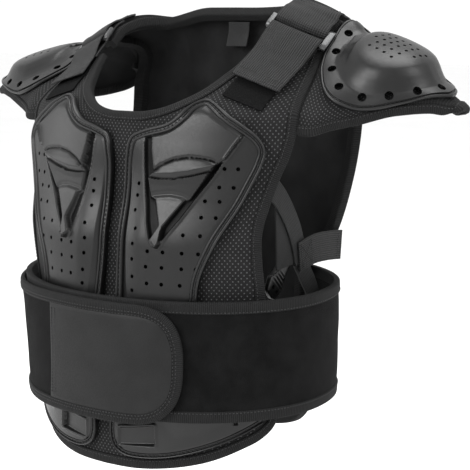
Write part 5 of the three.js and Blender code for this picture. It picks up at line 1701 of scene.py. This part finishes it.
def patch_place(u, v):
    share = mix(PATCH_SHARE, FLAP_TIP, u)
    angle, down = mix(np.array(flap_inside(1 - share)), np.array(flap_inside(share)), v)
    edge = smooth(0, 0.02, u) * smooth(0, 0.02, np.minimum(v, 1 - v))
    swell = 0.8 * np.sin(math.pi * np.sqrt(u)) * np.sin(math.pi * v)
    return on_flap(angle, down, FLAP_THICKNESS + 0.2 + PATCH_THICKNESS * (0.3 + 0.7 * edge) + swell)


patch = ready(walled(laid("patch", 90, 44, patch_place, (150, 90)), PATCH_THICKNESS * 0.8))
closed(patch)
down = np.linspace(0.15, 0.9, 60)
for inset in (1.2, 3.0):
    angle = np.full_like(down, PATCH_START + inset)
    line = on_flap(angle, down, FLAP_THICKNESS + 0.3 + PATCH_THICKNESS)
    sewn(patch, line, on_flap(angle, down, FLAP_THICKNESS + 3) - line, pitch=3.0)
dressed(patch, "flap_patch", "vinyl")


# Webbing at the sides
def band_place(marks, width, layer):
    centre = trace([(-ahead * FRONT_REACH, -down * BODY_HEIGHT) for ahead, down in marks])
    x = SIDE_WEB_PLANE - layer * (SIDE_WEB_THICKNESS + GAP)

    def place(u, v):
        spot = centre(v)
        along = unit(centre(np.minimum(v + 0.01, 1)) - centre(np.maximum(v - 0.01, 0)))
        off = (u - 0.5) * width
        y, z = spot[:, 0] - along[:, 1] * off, spot[:, 1] + along[:, 0] * off
        return np.stack([np.full_like(off, x), y, z], -1)

    return place


def make_band(name, marks, width, layer, length):
    place = band_place(marks, width, layer)
    web = walled(laid(name, 12, 60, place, (width, length)), SIDE_WEB_THICKNESS, 0.0)
    return ready(closed(eased(web, 0.4))), place


# Marks as shares of the front reach and the body's height
SIDE_MARKS = [(-0.136, 0.5364), (0, 0.5295), (0.152, 0.5273), (0.293, 0.5364)]
CROSS_MARKS = [(0.5985, 0.345), (0.45, 0.398), (0.325, 0.47), (0.25, 0.5455)]
UPRIGHT_MARKS = [(0.409, 0.4136), (0.399, 0.4773), (0.394, 0.5523)]
LOWER_MARKS = [(0.2626, 0.5409), (0.192, 0.5818), (0.121, 0.6273), (0.081, 0.6818)]
WEB_STITCHES = 40
side_web, side_place = make_band("side_web", SIDE_MARKS, SIDE_WEB_WIDTH, 0, 88)
outward = np.array([[1.0, 0, 0]] * WEB_STITCHES)
# Rows of stitches as u and v at their ends: two bars, a cross and a box round it
SIDE_ROWS = [
    ((0.08, 0.03), (0.92, 0.03)), ((0.08, 0.1), (0.92, 0.1)), ((0.1, 0.72), (0.9, 0.95)),
    ((0.9, 0.72), (0.1, 0.95)), ((0.1, 0.72), (0.9, 0.72)), ((0.1, 0.95), (0.9, 0.95)),
]
for first, last in SIDE_ROWS:
    u, v = np.linspace(first, last, WEB_STITCHES).T
    sewn(side_web, side_place(u, v) + outward * SIDE_WEB_THICKNESS / 2, outward, pitch=2.8)
dressed_pair(side_web, "side_strap", "webbing")
for name, marks, width, layer, length in (
    ("cross_strap", CROSS_MARKS, CROSS_WEB_WIDTH, 1, 120),
    ("upright_strap", UPRIGHT_MARKS, SIDE_WEB_WIDTH, 2, 62),
    ("lower_strap", LOWER_MARKS, CROSS_WEB_WIDTH, 2, 74),
):
    dressed_pair(make_band(name, marks, width, layer, length)[0], name, "webbing")


# Buckle: half its length, its slots, and rows of how far along, half the width and half the thickness
BUCKLE_HALF = 23
BUCKLE_SLOT = 4.4
BUCKLE_SLOT_PLACE = -14.5
BUCKLE_SLOT_SPREAD = 4.2
BUCKLE_ROWS = [
    (-23, 4, 1.6), (-21, 8, 2.6), (-14, 11, 3.4), (-8, 12, 3.8), (-2, 9.5, 4.0), (4, 7.5, 4.0),
    (12, 7, 3.8), (19, 7.5, 3.2), (22, 6, 2.0), (23, 3, 1.2),
]


def make_buckle():
    """A moulded hook buckle: a waisted body with ridges for the grip, and two slots."""
    low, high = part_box("side_buckle_right")
    centre = (np.array(low) + np.array(high)) / 2 / MM
    along = np.array([0, 0.703, 0.711])
    side = np.array([0, -0.711, 0.703])
    out = np.array([1.0, 0, 0])
    widths = smooth_table([row[0] for row in BUCKLE_ROWS], [row[1:] for row in BUCKLE_ROWS])

    def place(share, a, b):
        wide, thick = np.moveaxis(widths(share), -1, 0)
        grip = 0.4 * np.sin(share * 1.6) * smooth(-14, -6, share) * (1 - smooth(2, 8, share))
        spot = centre + along * share[:, None] + side * (a * wide)[:, None]
        return spot + out * (b * (thick + grip))[:, None]

    section = rounded([(-1, -1), (-1, 1), (1, 1), (1, -1)], 0.55, 4)
    shape = closed(rolled("buckle", np.linspace(-BUCKLE_HALF, BUCKLE_HALF, 70), section, place))
    slots = [centre + along * BUCKLE_SLOT_PLACE + side * BUCKLE_SLOT_SPREAD * way for way in (-1, 1)]
    drilled(shape, slots, [out, out], BUCKLE_SLOT, depth=12)
    return shape


dressed_pair(make_buckle(), "side_buckle", "plastic", crease=45)

# Tab inside the collar
tab_top = run_at_height(0, -9, False)


TAB_ASIDE = 9
TAB_SLANT = 10


def tab_place(u, v):
    x = mix(NECK_TAB_WIDTH / 2, -NECK_TAB_WIDTH / 2, u) + TAB_ASIDE - TAB_SLANT * v
    return body(x, tab_top - 3 + NECK_TAB_LENGTH * v, -BACK_THICKNESS - 1.6 - NECK_TAB_THICKNESS)


tab = walled(laid("tab", 16, 18, tab_place, (NECK_TAB_WIDTH, NECK_TAB_LENGTH)), NECK_TAB_THICKNESS, -1.0)
dressed(closed(eased(tab, 0.4)), "neck_tab", "vinyl").data.materials[0] = FINISHES["satin"]

# Floor, lights and camera
FLOOR_HEIGHT = -0.62


def pale_floor():
    bpy.ops.object.select_all(action="DESELECT")
    bpy.ops.mesh.primitive_plane_add(size=24, location=(0, 0, FLOOR_HEIGHT))
    floor = bpy.context.object
    floor.name = "floor"
    finish = Finish("pale_floor", roughness=0.8)
    colour, _ = finish.tones(finish.noise(3, 3), dark=0.92, pale=0.95, cool=1.0)
    finish.into("Base Color", colour)
    floor.data.materials.append(finish.material)


pale_floor()
TARGET = Vector((0.0927, -0.110, -0.210))
DISTANCE = 1.235
AZIMUTH, ELEVATION = math.radians(33), math.radians(10)
SENSOR_WIDTH = 36
PICTURE_SIDE = 470
PICTURE_FOCUS = 1300

# Lights: name, place, size and power
LIGHTS = [
    ("key", (-0.3, -1.4, 0.52), 0.75, 17),
    ("top", (0.3, 0.15, 1.5), 1.2, 26),
    ("right", (1.6, -0.2, 0.8), 0.8, 9),
    ("left", (-1.6, -0.9, 0.2), 0.8, 7),
]
WORLD_STRENGTH = 1.05


def soft_light(name, place, size, power):
    data = bpy.data.lights.new(name, "AREA")
    data.shape = "SQUARE"
    data.size = size
    data.energy = power
    light = in_scene(name, data)
    light.location = place
    light.rotation_euler = (TARGET - Vector(place)).to_track_quat("-Z", "Y").to_euler()


for light in LIGHTS:
    soft_light(*light)
bpy.context.scene.view_settings.view_transform = "Standard"

world = bpy.data.worlds.new("studio")
bpy.context.scene.world = world
world.use_nodes = True
background = world.node_tree.nodes["Background"]
background.inputs["Color"].default_value = (1, 1, 1, 1)
background.inputs["Strength"].default_value = WORLD_STRENGTH

camera = in_scene("camera", bpy.data.cameras.new("camera"))
toward = Vector((
    math.sin(AZIMUTH) * math.cos(ELEVATION), -math.cos(AZIMUTH) * math.cos(ELEVATION), math.sin(ELEVATION),
))
camera.location = TARGET + toward * DISTANCE
camera.rotation_euler = (-toward).to_track_quat("-Z", "Y").to_euler()
camera.data.sensor_width = SENSOR_WIDTH
camera.data.lens = SENSOR_WIDTH * PICTURE_FOCUS / PICTURE_SIDE
bpy.context.scene.camera = camera
